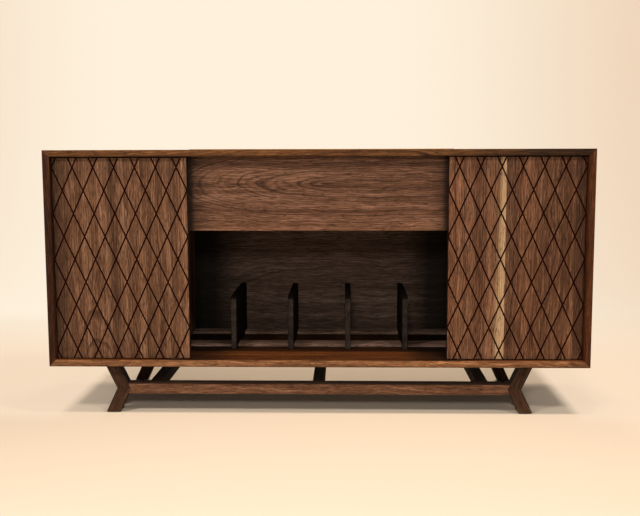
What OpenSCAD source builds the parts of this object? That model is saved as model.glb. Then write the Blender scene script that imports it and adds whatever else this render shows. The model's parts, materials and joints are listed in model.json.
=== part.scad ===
// Record player console: a mitred walnut case with two sliding doors that carry a lattice of vee grooves,
// a fixed centre panel with a record player well behind it under a lift-up lid, an open record rack below,
// and a base with Y-shaped ends. Millimetres. X runs along the front, which faces -Y, and Z is up.
// The origin is on the floor, under the middle.

/* [Case] */
// Overall width of the case
case_w = 1524; // [1400:1:1700]
// Overall depth of the case
case_d = 457; // [440:1:560]
// Height of the case without its base
case_h = 609.6; // [560:0.1:700]
// Thickness of the four mitred boards
board_t = 19; // [18:0.5:24]
// Width of the small flat that eases each sharp edge
edge_ease = 1.2; // [0.6:0.1:2]
// Thickness of the plywood splines in the mitres
spline_t = 4; // [3:0.5:5]
// Width of the plywood splines
spline_w = 10; // [8:0.5:12]
// Distance that a spline stops short of the front and back edges
spline_stop = 14; // [13:1:40]

/* [Doors] */
// Width of each sliding door
door_w = 378.6; // [340:0.1:400]
// Thickness of the doors
door_t = 19; // [16:0.5:21]
// Distance from the front edge of the case to the face of the doors
door_setback = 16; // [10:0.5:18]
// Gap above and below the doors
door_gap = 2; // [1:0.5:3]
// Gap between a closed door and the side of the case
door_side_gap = 1.5; // [1:0.1:3]
// Gap between the two doors when both are pushed to the middle
door_meet_gap = 1; // [0.5:0.5:4]
// Thickness of the tongues that run in the tracks
tongue_t = 6; // [4:0.5:8]
// Depth of the upper track
track_top_depth = 10; // [8:0.5:12]
// Depth of the lower track
track_bottom_depth = 6; // [4:0.5:7]
// Clearance between tongue and track on each side
track_clear = 0.5; // [0.3:0.1:1]
// Distance that the tongues stop short of the inner edge of a door
tongue_stop = 2; // [2:0.5:6]
// Clearance between the end of a tongue and its track, above and below
tongue_end_gap = 1.8; // [1:0.1:3]
// Gap between a tongue and the stop in its track when a door is pushed to the middle
track_stop_gap = 0.5; // [0.3:0.1:1]
// Length of a nylon glide under a door
glide_l = 24; // [16:1:40]
// Distance from the edge of a door to its glide
glide_inset = 30; // [15:1:80]
// Running gap under the glides
glide_gap = 0.3; // [0.2:0.1:0.6]
// Gap between a closed door and the felt pads beside it
door_felt_gap = 0.3; // [0.2:0.1:0.6]
// Diameter of those felt pads
door_felt_d = 10; // [6:1:16]
// Distance from the case floor and ceiling to those felt pads
door_felt_inset = 60; // [20:1:150]

/* [Lattice] */
// Width of the vee grooves at the face of the door
groove_w = 4.7; // [3:0.1:8]
// Number of diamonds across a door
diamonds_across = 6.5; // [3.5:1:9.5]
// Height of one diamond
diamond_h = 128.6; // [90:0.1:180]
// Distance from the top of the door to the first crossing at its outer edge
first_crossing = 27.2; // [0:0.1:60]

/* [Centre] */
// Clear width between the partitions
centre_w = 829; // [780:1:860]
// Thickness of the partitions
partition_t = 19; // [18:0.5:24]
// Gap between the back of the doors and the centre panel
door_clear = 3; // [2:0.5:8]
// Thickness of the fixed centre panel
fascia_t = 19; // [18:0.5:24]
// Height of the fixed centre panel
fascia_h = 208; // [150:0.5:260]
// Thickness of the shelf under the record player
well_shelf_t = 19; // [16:0.5:24]
// Depth of the dados that hold that shelf in the partitions
dado_depth = 6; // [4:0.5:8]

/* [Lid] */
// Distance that the lid overlaps the top edge of each partition
lid_side_lap = 8.5; // [6:0.5:9]
// Distance that the lid overlaps the top edge of the centre panel
lid_front_lap = 7.5; // [5:0.5:9]
// Gap around the front and sides of the lid
lid_gap = 2; // [1:0.1:3]
// Width of the rail behind the lid
rear_rail_w = 50; // [40:1:80]
// Radius of the finger notch in the front edge of the lid
notch_r = 22; // [15:1:30]
// Diameter of the felt pads under the lid
felt_d = 5; // [4:0.5:6]
// Depth that the felt pads are let in
felt_depth = 3; // [2:0.5:5]
// Distance from the front and back edges of the lid to its felt pads
felt_inset = 20; // [10:1:60]

/* [Lid hinge] */
// Width of the seam that takes both hinge leaves
hinge_seam = 3; // [3:0.1:4]
// Thickness of a hinge leaf
leaf_t = 1.2; // [1:0.1:1.3]
// Height of a hinge leaf
leaf_h = 16; // [13:0.5:17]
// Outer diameter of the hinge knuckle
knuckle_d = 5; // [4.6:0.1:5.2]
// Diameter of the hinge pin
pin_d = 2.4; // [2:0.1:2.6]
// Radial clearance of the pin in the knuckle
pin_clear = 0.05; // [0.02:0.01:0.1]
// Number of knuckles, an odd number
knuckle_count = 21; // [11:2:31]
// Distance from the top of the case down to the hinge pin
pin_drop = 1; // [0.5:0.1:1.4]
// Free space around the knuckle
knuckle_clear = 0.3; // [0.3:0.05:0.6]
// Distance that the hinge stops short of each end of the lid
hinge_end_gap = 3; // [1:1:20]
// Number of screws in each leaf
hinge_screws = 8; // [4:1:12]

/* [Back] */
// Thickness of the back panel
back_t = 9; // [6:0.5:10]
// Depth of the rebate that the back panel sits in
rebate_depth = 12; // [12:0.5:16]
// Width of the ledge behind the back panel's edges
rebate_ledge = 9.5; // [8:0.5:12]
// Diameter of the cable holes
cable_hole_d = 60; // [40:1:80]
// Diameter of the cable hole in each partition
partition_hole_d = 48; // [30:1:70]
// Wall of the cable grommets
grommet_wall = 3; // [2:0.5:5]
// Distance that a grommet's flange stands past its hole
flange_w = 5; // [3:0.5:8]
// Thickness of a grommet's flange
flange_t = 2; // [1:0.5:3]

/* [Side bays] */
// Thickness of the adjustable shelves
side_shelf_t = 19; // [16:0.5:24]
// Height of the adjustable shelves above the case floor
side_shelf_z = 280; // [150:1:380]
// Distance from the back of the doors to the front of the adjustable shelves
side_shelf_front_gap = 30; // [5:1:100]
// Gap between a shelf and the boards beside it
side_shelf_gap = 1; // [0.5:0.5:2]
// Gap between a shelf and the back panel
side_shelf_back_gap = 5; // [1:1:20]
// Distance from the front and back edges of a shelf to its pins
shelf_pin_inset = 40; // [20:1:80]
// Diameter of the shelf pins
shelf_pin_d = 5; // [5:0.5:7]
// Length of the shelf pins
shelf_pin_l = 20; // [16:1:26]
// Depth of the holes for the shelf pins
shelf_pin_hole = 9; // [7:1:12]

/* [Record rack] */
// Thickness of the dividers
divider_t = 16; // [12:0.5:20]
// Height of the dividers above the case floor
divider_h = 160; // [100:1:220]
// Distance from the back of the dividers to the back panel
divider_back_gap = 4; // [1:1:60]
// Distance from the front edge of the case to the dividers
divider_setback = 149; // [110:1:175]
// Radius of the dividers' upper corners
divider_r = 14; // [5:1:40]
// Width of the floor slats
slat_w = 54; // [40:1:80]
// Thickness of the floor slats
slat_t = 9; // [8:0.5:22]
// Distance that the dividers stand out in front of the front slat
divider_overhang = 38; // [0:1:50]
// Distance from the rear slat to the back of the dividers
rear_slat_inset = 8; // [0:1:60]

/* [Base] */
// Height of the base
base_h = 139.7; // [120:0.1:180]
// Thickness of the base frames from front to back
frame_t = 36; // [24:1:42]
// Distance from the front edge of the case to the front frame
frame_setback_front = 25; // [20:1:60]
// Distance from the back edge of the case to the rear frame
frame_setback_rear = 25; // [20:1:80]
// Height of the stretchers
stretcher_h = 31; // [26:1:40]
// Height of the middle of the stretchers, where arm and leg meet, above the floor
stretcher_mid_h = 71; // [60:1:90]
// Width of the arms and legs
member_w = 35; // [30:1:40]
// Distance from each end of the case to the point where arm and leg meet
base_end_inset = 186; // [140:1:240]
// Angle of the arms and legs from the vertical
splay = 25.2; // [15:0.1:26]
// Width of the rails between the frames
rail_w = 33; // [22:1:36]
// Distance from the point where arm and leg meet to the middle of the outer rail
rail_inset = 106; // [80:1:200]
// Diameter of the foot pads
pad_d = 24; // [16:1:26]
// Thickness of the foot pads
pad_h = 3; // [2:0.5:5]

/* [Fixings] */
// Clearance around each dowel, screw, bolt and pin
fix_clear = 0.1; // [0.05:0.05:0.15]
// Diameter of the dowels between rails and frames
dowel_d = 10; // [8:1:12]
// Depth of a dowel in a frame
dowel_in_frame = 18; // [12:1:20]
// Depth of a dowel in a rail
dowel_in_rail = 32; // [20:1:50]
// Diameter of the bolts that hold the base
bolt_d = 8; // [6:1:10]
// Length of a bolt inside an arm
bolt_in_arm = 30; // [20:1:36]
// Diameter of the threaded inserts
insert_d = 12; // [11:0.5:14]
// Length of the threaded inserts
insert_l = 13; // [10:0.5:15]
// Diameter of the wood screws
screw_d = 4; // [3:0.5:4.5]
// Depth that a screw enters a slat of the rack
slat_screw_bite = 7; // [5:1:14]
// Distance from the front and back edges of a partition to its outer screws
partition_screw_inset = 42; // [20:1:100]
// Depth that a screw enters a partition
partition_screw_bite = 24; // [15:1:40]
// Length of the back panel screws
back_screw_l = 25; // [20:1:35]
// Distance from the inner sides of the case to the outer screws of the back panel
back_screw_inset = 30; // [15:1:60]

/* [Hidden] */
$fn = 48;

walnut = "#7a5240";
walnut_dark = "#3a2a24";
walnut_light = "#8f6246";
steel = "#9a9a98";
brass = "#b08d4c";
nylon = "#d8d4c8";
felt = "#4a4038";
black_plastic = "#222222";

// A cutter reaches this far past the face it cuts
past = 1;

// Case: heights of its faces, half widths of its outside and inside
front = -case_d / 2;
top_z = base_h + case_h;
ceiling_z = top_z - board_t;
floor_z = base_h + board_t;
out_x = case_w / 2;
in_x = out_x - board_t;
rebate_q = case_d - rebate_depth;

// Doors, described for the left one
door_q = door_setback;
door_rear_q = door_q + door_t;
door_x = -(in_x - door_side_gap);
door_inner_x = door_x + door_w;
door_bottom_z = floor_z + door_gap;
door_top_z = ceiling_z - door_gap;
track_q = door_q + door_t / 2;
track_w = tongue_t + 2 * track_clear;
track_stop_w = door_meet_gap + 2 * (tongue_stop - track_stop_gap);
door_ends = [door_x + tongue_stop, door_inner_x - tongue_stop];
tongue_top_z = ceiling_z + track_top_depth - tongue_end_gap;
tongue_bottom_z = floor_z - track_bottom_depth + tongue_end_gap;
glide_z = floor_z - track_bottom_depth + glide_gap;
diamond_w = door_w / diamonds_across;

// Centre: the panel stands just behind the doors, between the partitions
part_in_x = centre_w / 2;
part_out_x = part_in_x + partition_t;
fascia_q = door_rear_q + door_clear;
fascia_rear_q = fascia_q + fascia_t;
fascia_z = ceiling_z - fascia_h;
well_z = fascia_z + well_shelf_t;

// Lid, its opening and the hinge axis
lid_x = part_in_x + lid_side_lap;
lid_front_q = fascia_rear_q - lid_front_lap;
opening_x = lid_x + lid_gap;
opening_front_q = lid_front_q - lid_gap;
opening_rear_q = case_d - rear_rail_w;
lid_rear_q = opening_rear_q - hinge_seam;
hinge_q = opening_rear_q - hinge_seam / 2;
hinge_z = top_z - pin_drop;
knuckle_r = knuckle_d / 2;
hinge_l = 2 * (lid_x - hinge_end_gap);
knuckle_l = hinge_l / knuckle_count;
hinge_chamfer = (knuckle_r + knuckle_clear) * sqrt(2) - hinge_seam / 2 + pin_drop + knuckle_clear;
leaf_screw_z = hinge_z - (leaf_h + knuckle_r + knuckle_clear) / 2;
leaf_screw_l = 14;
leaf_screw_d = 2.4;
leaf_screw_head = 4.4;

// Record rack: four dividers make five equal bays
rack_bays = 5;
bay_pitch = (centre_w + divider_t) / rack_bays;
divider_q = [divider_setback, rebate_q - divider_back_gap];
front_slat_q = divider_q[0] + divider_overhang;
rear_slat_q = divider_q[1] - rear_slat_inset - slat_w;
divider_x = [for (i = [1 : rack_bays - 1]) -centre_w / 2 - divider_t / 2 + i * bay_pitch];

// Base
apex_x = out_x - base_end_inset;
rail_x = apex_x - rail_inset;
mid_z = stretcher_mid_h;
member_h_w = member_w / cos(splay);
rear_frame_q = case_d - frame_setback_rear - frame_t;
bolt_x = apex_x + (base_h - mid_z - bolt_in_arm / 2) * tan(splay) - member_h_w / 2;
frame_qs = [frame_setback_front, rear_frame_q];
rail_q = [frame_setback_front + frame_t, rear_frame_q];
rail_xs = [-rail_x, 0, rail_x];

// Cable holes: one behind the record player, one in the back of each side bay, one in each partition
cable_well_z = well_z + cable_hole_d;
side_bay_x = (in_x + part_out_x) / 2;
cable_side_z = floor_z + side_shelf_z - cable_hole_d;
cable_spots = [[-side_bay_x, cable_side_z], [0, cable_well_z], [side_bay_x, cable_side_z]];

// Back screws: into the top and bottom boards, the sides and the partitions
ledge_mid = rebate_ledge / 2;
back_rows_x = [for (i = [-3 : 3]) i * (in_x - back_screw_inset) / 3];
back_side_z = [for (i = [1 : 3]) floor_z + i * (ceiling_z - floor_z) / 4];
back_screw_spots = concat(
    [for (x = back_rows_x) [x, ceiling_z + ledge_mid]],
    [for (x = back_rows_x) [x, floor_z - ledge_mid]],
    [for (s = [-1, 1], z = back_side_z) [s * (in_x + ledge_mid), z]],
    [for (s = [-1, 1], z = back_side_z) [s * (part_in_x + partition_t / 2), z]]
);

// Floor screws: up through the case bottom into the partitions and the slats
partition_screw_q = [
    fascia_q + partition_screw_inset, (fascia_q + rebate_q) / 2, rebate_q - partition_screw_inset
];
partition_screw_spots = [for (s = [-1, 1], q = partition_screw_q) [s * (part_in_x + partition_t / 2), q]];
slat_screw_x = [for (i = [-2, -1, 1, 2]) i * bay_pitch];
slat_screw_spots = [
    for (q = [front_slat_q, rear_slat_q], x = slat_screw_x) [x, q + slat_w / 2]
];

// Heights at which the shelf pins stand, and their places from front to back
pin_z = floor_z + side_shelf_z - shelf_pin_d / 2 - fix_clear;
side_shelf_rear_q = rebate_q - side_shelf_back_gap;
side_shelf_q = door_rear_q + side_shelf_front_gap;
pin_qs = [side_shelf_q + shelf_pin_inset, side_shelf_rear_q - shelf_pin_inset];

hinge_screw_xs = [for (i = [0 : hinge_screws - 1]) (i + 0.5) * hinge_l / hinge_screws - hinge_l / 2];

// A plain block between two limits on each axis, with q measured back from the front edge of the case
module block(x, q, z) {
    translate([x[0], front + q[0], z[0]])
        cube([x[1] - x[0], q[1] - q[0], z[1] - z[0]]);
}

function chamfered(a, b, c) = [
    [a[0] + c, b[0]], [a[1] - c, b[0]], [a[1], b[0] + c], [a[1], b[1] - c],
    [a[1] - c, b[1]], [a[0] + c, b[1]], [a[0], b[1] - c], [a[0], b[0] + c]
];

// An outline in X and Z, extruded from front to back between two limits of q
module xz_prism(points, q) {
    translate([0, front + q[1], 0])
        rotate([90, 0, 0])
            linear_extrude(q[1] - q[0])
                polygon(points);
}

// An outline in q and Z, extruded along X
module qz_prism(points, x) {
    translate([x[0], front, 0])
        rotate([90, 0, 90])
            linear_extrude(x[1] - x[0])
                polygon(points);
}

// A block whose twelve edges are eased
module eased_block(x, q, z, c = edge_ease) {
    intersection() {
        translate([0, front, z[0]])
            linear_extrude(z[1] - z[0])
                polygon(chamfered(x, q, c));
        xz_prism(chamfered(x, z, c), q);
        qz_prism(chamfered(q, z, c), x);
    }
}

// The outline of a board's section, with the two corners at its front eased
function eased_front(a, b, c = edge_ease) = [
    [a[0] + c, b[0]], [a[1], b[0]], [a[1], b[1]], [a[0] + c, b[1]], [a[0], b[1] - c], [a[0], b[0] + c]
];

// A rod along X, along q or along Z, that starts at the given point
module rod_x(x, q, z, d, l) {
    translate([x, front + q, z])
        rotate([0, 90, 0])
            cylinder(d = d, h = l);
}

module rod_q(x, q, z, d, l) {
    translate([x, front + q + l, z])
        rotate([90, 0, 0])
            cylinder(d = d, h = l);
}

module rod_z(x, q, z, d, l) {
    translate([x, front + q, z])
        cylinder(d = d, h = l);
}

// A countersunk screw that points up, with its head at z, and grown on every side by grow
module screw_up(x, q, z, l, grow = 0) {
    translate([x, front + q, z]) {
        cylinder(d = screw_d + 2 * grow, h = l + grow);
        cylinder(d1 = 2 * screw_d + 2 * grow, d2 = screw_d + 2 * grow, h = screw_d / 2);
    }
}

// A countersunk screw that points forward from the face at q
module screw_forward(x, q, z, l, grow = 0) {
    translate([x, front + q, z])
        rotate([90, 0, 0]) {
            cylinder(d = screw_d + 2 * grow, h = l + grow);
            cylinder(d1 = 2 * screw_d + 2 * grow, d2 = screw_d + 2 * grow, h = screw_d / 2);
        }
}

// A small countersunk screw of the hinge: it points forward into the lid, or back into the rail
module leaf_screw(x, q, dir, grow = 0) {
    translate([x, front + q, leaf_screw_z])
        rotate([-90 * dir, 0, 0]) {
            cylinder(d = leaf_screw_d + 2 * grow, h = leaf_screw_l + grow);
            cylinder(d1 = leaf_screw_head + 2 * grow, d2 = leaf_screw_d + 2 * grow, h = leaf_t);
        }
}

module lid_leaf_screw_set(grow = 0) {
    for (x = hinge_screw_xs)
        leaf_screw(x, lid_rear_q + leaf_t, -1, grow);
}

module case_leaf_screw_set(grow = 0) {
    for (x = hinge_screw_xs)
        leaf_screw(x, opening_rear_q - leaf_t, 1, grow);
}

module back_screw_set(grow = 0) {
    for (p = back_screw_spots)
        screw_forward(p[0], rebate_q + back_t, p[1], back_screw_l, grow);
}

module floor_screw_set(grow = 0) {
    for (p = partition_screw_spots)
        screw_up(p[0], p[1], base_h, board_t + partition_screw_bite, grow);
    for (p = slat_screw_spots)
        screw_up(p[0], p[1], base_h, board_t + min(slat_screw_bite, slat_t - fix_clear), grow);
}

// The four splines, one square across each mitre
module spline_set(grow = 0) {
    mitre_x = out_x - board_t / 2;
    for (sx = [-1, 1], z = [base_h + board_t / 2, top_z - board_t / 2])
        translate([sx * mitre_x, front + spline_stop - grow, z])
            rotate([0, sx * (z > base_h + case_h / 2 ? 45 : -45), 0])
                translate([-spline_w / 2 - grow, 0, -spline_t / 2 - grow])
                    cube([spline_w + 2 * grow, rebate_q - 2 * spline_stop + 2 * grow, spline_t + 2 * grow]);
}

// The rebate for the back panel, cut from all four boards
module back_rebate() {
    x = in_x + rebate_ledge;
    block([-x, x], [rebate_q, case_d + past], [floor_z - rebate_ledge, ceiling_z + rebate_ledge]);
}

// The track that the door tongues run in: it ends level with the outer edges of the closed doors
module track(z0, z1) {
    block([door_x, -door_x], [track_q - track_w / 2, track_q + track_w / 2], [z0, z1]);
}

// The top or bottom board: outer face at z_out, inner face at z_in, mitred at both ends
module mitred_board(z_out, z_in) {
    intersection() {
        xz_prism([[-out_x, z_out], [out_x, z_out], [in_x, z_in], [-in_x, z_in]], [0, case_d]);
        qz_prism(eased_front([0, case_d], [min(z_out, z_in), max(z_out, z_in)]), [-out_x, out_x]);
    }
}

module case_top() {
    color(walnut)
        difference() {
            mitred_board(top_z, ceiling_z);
            qz_prism([
                [opening_front_q, ceiling_z - past], [opening_rear_q, ceiling_z - past],
                [opening_rear_q, top_z - hinge_chamfer],
                [opening_rear_q + hinge_chamfer + past, top_z + past], [opening_front_q, top_z + past]
            ], [-opening_x, opening_x]);
            track(ceiling_z - past, ceiling_z + track_top_depth);
            back_rebate();
            spline_set(fix_clear);
            back_screw_set(fix_clear);
            case_leaf_screw_set(fix_clear);
        }
}

module case_bottom() {
    color(walnut)
        difference() {
            mitred_board(base_h, floor_z);
            track(floor_z - track_bottom_depth, floor_z + past);
            back_rebate();
            spline_set(fix_clear);
            back_screw_set(fix_clear);
            floor_screw_set(fix_clear);
            for (s = [-1, 1], q = frame_qs)
                rod_z(s * bolt_x, q + frame_t / 2, base_h - past, insert_d + 2 * fix_clear, insert_l + past);
        }
}

module case_side(s) {
    color(walnut)
        difference() {
            intersection() {
                xz_prism([
                    [s * out_x, base_h], [s * out_x, top_z], [s * in_x, ceiling_z], [s * in_x, floor_z]
                ], [0, case_d]);
                translate([0, front, base_h])
                    linear_extrude(case_h)
                        polygon([for (p = eased_front([0, case_d], [in_x, out_x])) [s * p[1], p[0]]]);
            }
            back_rebate();
            spline_set(fix_clear);
            back_screw_set(fix_clear);
            shelf_pin_holes(s);
        }
}

// Holes for the shelf pins, in the case side and in the partition of one side bay
module shelf_pin_holes(s) {
    l = shelf_pin_hole + past;
    for (q = pin_qs, x = [part_out_x - shelf_pin_hole, in_x - past])
        rod_x(s > 0 ? x : -x - l, q, pin_z, shelf_pin_d + 2 * fix_clear, l);
}

module case_side_left() {
    case_side(-1);
}

module case_side_right() {
    case_side(1);
}

module mitre_splines() {
    color(walnut_dark)
        spline_set();
}

module partition(s) {
    x = s > 0 ? [part_in_x, part_out_x] : [-part_out_x, -part_in_x];
    dado = s > 0 ? [part_in_x - past, part_in_x + dado_depth] : [-part_in_x - dado_depth, -part_in_x + past];
    color(walnut_dark)
        difference() {
            block(x, [fascia_q, rebate_q], [floor_z, ceiling_z]);
            block(dado, [fascia_rear_q, rebate_q + past], [fascia_z, well_z]);
            shelf_pin_holes(s);
            back_screw_set(fix_clear);
            floor_screw_set(fix_clear);
            felt_pad_set(fix_clear);
            rod_x(x[0] - past, rebate_q - cable_hole_d, cable_well_z, partition_hole_d,
                  partition_t + 2 * past);
        }
}

module partition_left() {
    partition(-1);
}

module partition_right() {
    partition(1);
}

module centre_panel() {
    c = edge_ease;
    color(walnut)
        qz_prism([
            [fascia_q + c, fascia_z], [fascia_rear_q, fascia_z], [fascia_rear_q, ceiling_z],
            [fascia_q, ceiling_z], [fascia_q, fascia_z + c]
        ], [-part_in_x, part_in_x]);
}

module record_player_shelf() {
    x = part_in_x + dado_depth;
    color(walnut_dark)
        block([-x, x], [fascia_rear_q, rebate_q], [fascia_z, well_z]);
}

module back_panel() {
    x = in_x + rebate_ledge;
    color(walnut_dark)
        difference() {
            block([-x, x], [rebate_q, rebate_q + back_t],
                  [floor_z - rebate_ledge, ceiling_z + rebate_ledge]);
            for (p = cable_spots)
                rod_q(p[0], rebate_q - past, p[1], cable_hole_d, back_t + 2 * past);
            back_screw_set(fix_clear);
        }
}

module back_screws() {
    color(steel)
        back_screw_set();
}

// Plastic rings that line the cable holes of the back, with a flange behind
module cable_grommets() {
    body_d = cable_hole_d - 2 * fix_clear;
    color(black_plastic)
        for (p = cable_spots)
            difference() {
                union() {
                    rod_q(p[0], rebate_q, p[1], body_d, back_t + flange_t);
                    rod_q(p[0], rebate_q + back_t, p[1], cable_hole_d + 2 * flange_w, flange_t);
                }
                rod_q(p[0], rebate_q - past, p[1], body_d - 2 * grommet_wall, back_t + flange_t + 2 * past);
            }
}

module lid() {
    color(walnut)
        difference() {
            qz_prism([
                [lid_front_q, ceiling_z], [lid_rear_q, ceiling_z], [lid_rear_q, top_z - hinge_chamfer],
                [lid_rear_q - hinge_chamfer, top_z], [lid_front_q + edge_ease, top_z],
                [lid_front_q, top_z - edge_ease]
            ], [-lid_x, lid_x]);
            rod_z(0, lid_front_q, ceiling_z - past, 2 * notch_r, board_t + 2 * past);
            lid_leaf_screw_set(fix_clear);
        }
}

// Felt pads let into the top edges of the partitions, where the lid comes down on them
module felt_pad_set(grow = 0) {
    for (s = [-1, 1], q = [lid_front_q + felt_inset, lid_rear_q - felt_inset])
        rod_z(s * (part_in_x + lid_side_lap / 2), q, ceiling_z - felt_depth - grow, felt_d + 2 * grow,
              felt_depth + 2 * grow);
}

module lid_felt_pads() {
    color(felt)
        felt_pad_set();
}

// One leaf with its knuckles: side -1 is screwed to the lid, side 1 to the rear rail
module hinge_leaf(side) {
    first = side > 0 ? 0 : 1;
    q = side > 0 ? [opening_rear_q - leaf_t, opening_rear_q] : [lid_rear_q, lid_rear_q + leaf_t];
    plate_top_z = hinge_z - knuckle_r - knuckle_clear;
    end_gap = 0.15;
    difference() {
        union() {
            block([-hinge_l / 2, hinge_l / 2], q, [hinge_z - leaf_h, plate_top_z]);
            for (i = [first : 2 : knuckle_count - 1]) {
                x = -hinge_l / 2 + i * knuckle_l + end_gap;
                block([x, x + knuckle_l - 2 * end_gap], q, [plate_top_z - past, hinge_z - knuckle_r / 2]);
                rod_x(x, hinge_q, hinge_z, knuckle_d, knuckle_l - 2 * end_gap);
            }
        }
        rod_x(-hinge_l / 2 - past, hinge_q, hinge_z, pin_d + 2 * pin_clear, hinge_l + 2 * past);
        if (side > 0)
            case_leaf_screw_set(fix_clear);
        else
            lid_leaf_screw_set(fix_clear);
    }
}

module lid_hinge_lid_leaf() {
    color(brass)
        hinge_leaf(-1);
}

module lid_hinge_case_leaf() {
    color(brass)
        hinge_leaf(1);
}

module lid_hinge_pin() {
    color(steel)
        rod_x(-hinge_l / 2, hinge_q, hinge_z, pin_d, hinge_l);
}

module lid_leaf_screws() {
    color(brass)
        lid_leaf_screw_set();
}

module case_leaf_screws() {
    color(brass)
        case_leaf_screw_set();
}

// One vee groove through the point (x, z), leaning to one side, long enough to cross the whole door
module vee_groove(x, z, lean) {
    side = groove_w / sqrt(2);
    reach = door_w + case_h;
    translate([x, front + door_q, z])
        rotate([0, lean, 0])
            rotate([0, 0, 45])
                translate([-side / 2, -side / 2, -reach])
                    cube([side, side, 2 * reach]);
}

// All vee grooves of the left door: two families of parallel lines that cross in tall diamonds
module lattice() {
    lean = atan2(diamond_w, diamond_h);
    crossing_z = door_top_z - first_crossing;
    rows = ceil(case_h / diamond_h) + 1;
    first = -rows;
    last = ceil(diamonds_across) + rows;
    for (i = [first : last], s = [-1, 1])
        if (crosses_door(door_x + i * diamond_w, crossing_z, s))
            vee_groove(door_x + i * diamond_w, crossing_z, s * lean);
}

// Whether the line through (x, z) with slope s passes over the face of the left door
function crosses_door(x, z, s) =
    let (k = s * diamond_w / diamond_h,
         a = x + k * (door_top_z - z),
         b = x + k * (door_bottom_z - z))
    max(a, b) > door_x - groove_w && min(a, b) < door_inner_x + groove_w;

function glide_xs() = [door_x + glide_inset, door_inner_x - glide_inset - glide_l];

module tongue_block(x, z) {
    block(x, [track_q - tongue_t / 2, track_q + tongue_t / 2], z);
}

module door_glide_set() {
    for (x = glide_xs())
        tongue_block([x, x + glide_l], [glide_z, door_bottom_z]);
}

module door() {
    difference() {
        union() {
            eased_block([door_x, door_inner_x], [door_q, door_rear_q], [door_bottom_z, door_top_z]);
            tongue_block(door_ends, [door_top_z - past, tongue_top_z]);
            tongue_block(door_ends, [tongue_bottom_z, door_bottom_z + past]);
        }
        door_glide_set();
        lattice();
    }
}

module left_door() {
    color(walnut)
        door();
}

module left_door_glides() {
    color(nylon)
        door_glide_set();
}

module right_door() {
    color(walnut)
        mirror([1, 0, 0])
            door();
}

module right_door_glides() {
    color(nylon)
        mirror([1, 0, 0])
            door_glide_set();
}

// Small blocks in the middle of both tracks, where the tongues stop
module track_stops() {
    x = [-track_stop_w / 2, track_stop_w / 2];
    color(walnut_dark) {
        block(x, [track_q - track_w / 2, track_q + track_w / 2], [ceiling_z, ceiling_z + track_top_depth]);
        block(x, [track_q - track_w / 2, track_q + track_w / 2], [floor_z - track_bottom_depth, floor_z]);
    }
}

// Felt pads on the case sides, where the edges of the closed doors come to rest
module door_felt_pads() {
    t = door_side_gap - door_felt_gap;
    color(felt)
        for (z = [floor_z + door_felt_inset, ceiling_z - door_felt_inset]) {
            rod_x(-in_x, track_q, z, door_felt_d, t);
            rod_x(in_x - t, track_q, z, door_felt_d, t);
        }
}

module side_shelf(s) {
    a = part_out_x + side_shelf_gap;
    b = in_x - side_shelf_gap;
    z = floor_z + side_shelf_z;
    color(walnut_dark)
        block(s > 0 ? [a, b] : [-b, -a], [side_shelf_q, side_shelf_rear_q], [z, z + side_shelf_t]);
}

module side_shelf_left() {
    side_shelf(-1);
}

module side_shelf_right() {
    side_shelf(1);
}

module shelf_pins() {
    color(steel)
        for (q = pin_qs, s = [-1, 1], x = [part_out_x - shelf_pin_hole, in_x + shelf_pin_hole - shelf_pin_l])
            rod_x(s > 0 ? x : -x - shelf_pin_l, q, pin_z, shelf_pin_d, shelf_pin_l);
}

module rack_slat(q) {
    color(walnut)
        difference() {
            eased_block([-part_in_x, part_in_x], [q, q + slat_w], [floor_z, floor_z + slat_t]);
            floor_screw_set(fix_clear);
        }
}

module rack_slat_front() {
    rack_slat(front_slat_q);
}

module rack_slat_rear() {
    rack_slat(rear_slat_q);
}

// The waste of a rounded upper corner: s is -1 at the front and 1 at the back
module corner_waste(x, q, z, s) {
    difference() {
        block([x[0] - past, x[1] + past], s < 0 ? [q - past, q + divider_r] : [q - divider_r, q + past],
              [z - divider_r, z + past]);
        rod_x(x[0] - 2 * past, q - s * divider_r, z - divider_r, 2 * divider_r, x[1] - x[0] + 4 * past);
    }
}

module record_divider(i) {
    x = [divider_x[i] - divider_t / 2, divider_x[i] + divider_t / 2];
    q = divider_q;
    z = [floor_z, floor_z + divider_h];
    color(walnut_dark)
        difference() {
            eased_block(x, q, z);
            corner_waste(x, q[0], z[1], -1);
            corner_waste(x, q[1], z[1], 1);
            for (sq = [front_slat_q, rear_slat_q])
                block([x[0] - past, x[1] + past], [sq, sq + slat_w], [floor_z - past, floor_z + slat_t]);
        }
}

module record_divider_1() {
    record_divider(0);
}

module record_divider_2() {
    record_divider(1);
}

module record_divider_3() {
    record_divider(2);
}

module record_divider_4() {
    record_divider(3);
}

module floor_screws() {
    color(steel)
        floor_screw_set();
}

// A stretcher between the Y-shaped ends, with a bird's mouth that fits over the point where arm and leg meet
module base_stretcher(q) {
    mouth = apex_x - member_h_w;
    low = mid_z - stretcher_h / 2;
    high = mid_z + stretcher_h / 2;
    wide = mouth + stretcher_h / 2 * tan(splay);
    color(walnut_light)
        difference() {
            intersection() {
                eased_block([-apex_x, apex_x], [q, q + frame_t], [low, high]);
                xz_prism([
                    [-mouth, mid_z], [-wide, high], [wide, high],
                    [mouth, mid_z], [wide, low], [-wide, low]
                ], [q, q + frame_t]);
            }
            dowel_set(fix_clear);
        }
}

module base_stretcher_front() {
    base_stretcher(frame_qs[0]);
}

module base_stretcher_rear() {
    base_stretcher(frame_qs[1]);
}

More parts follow.
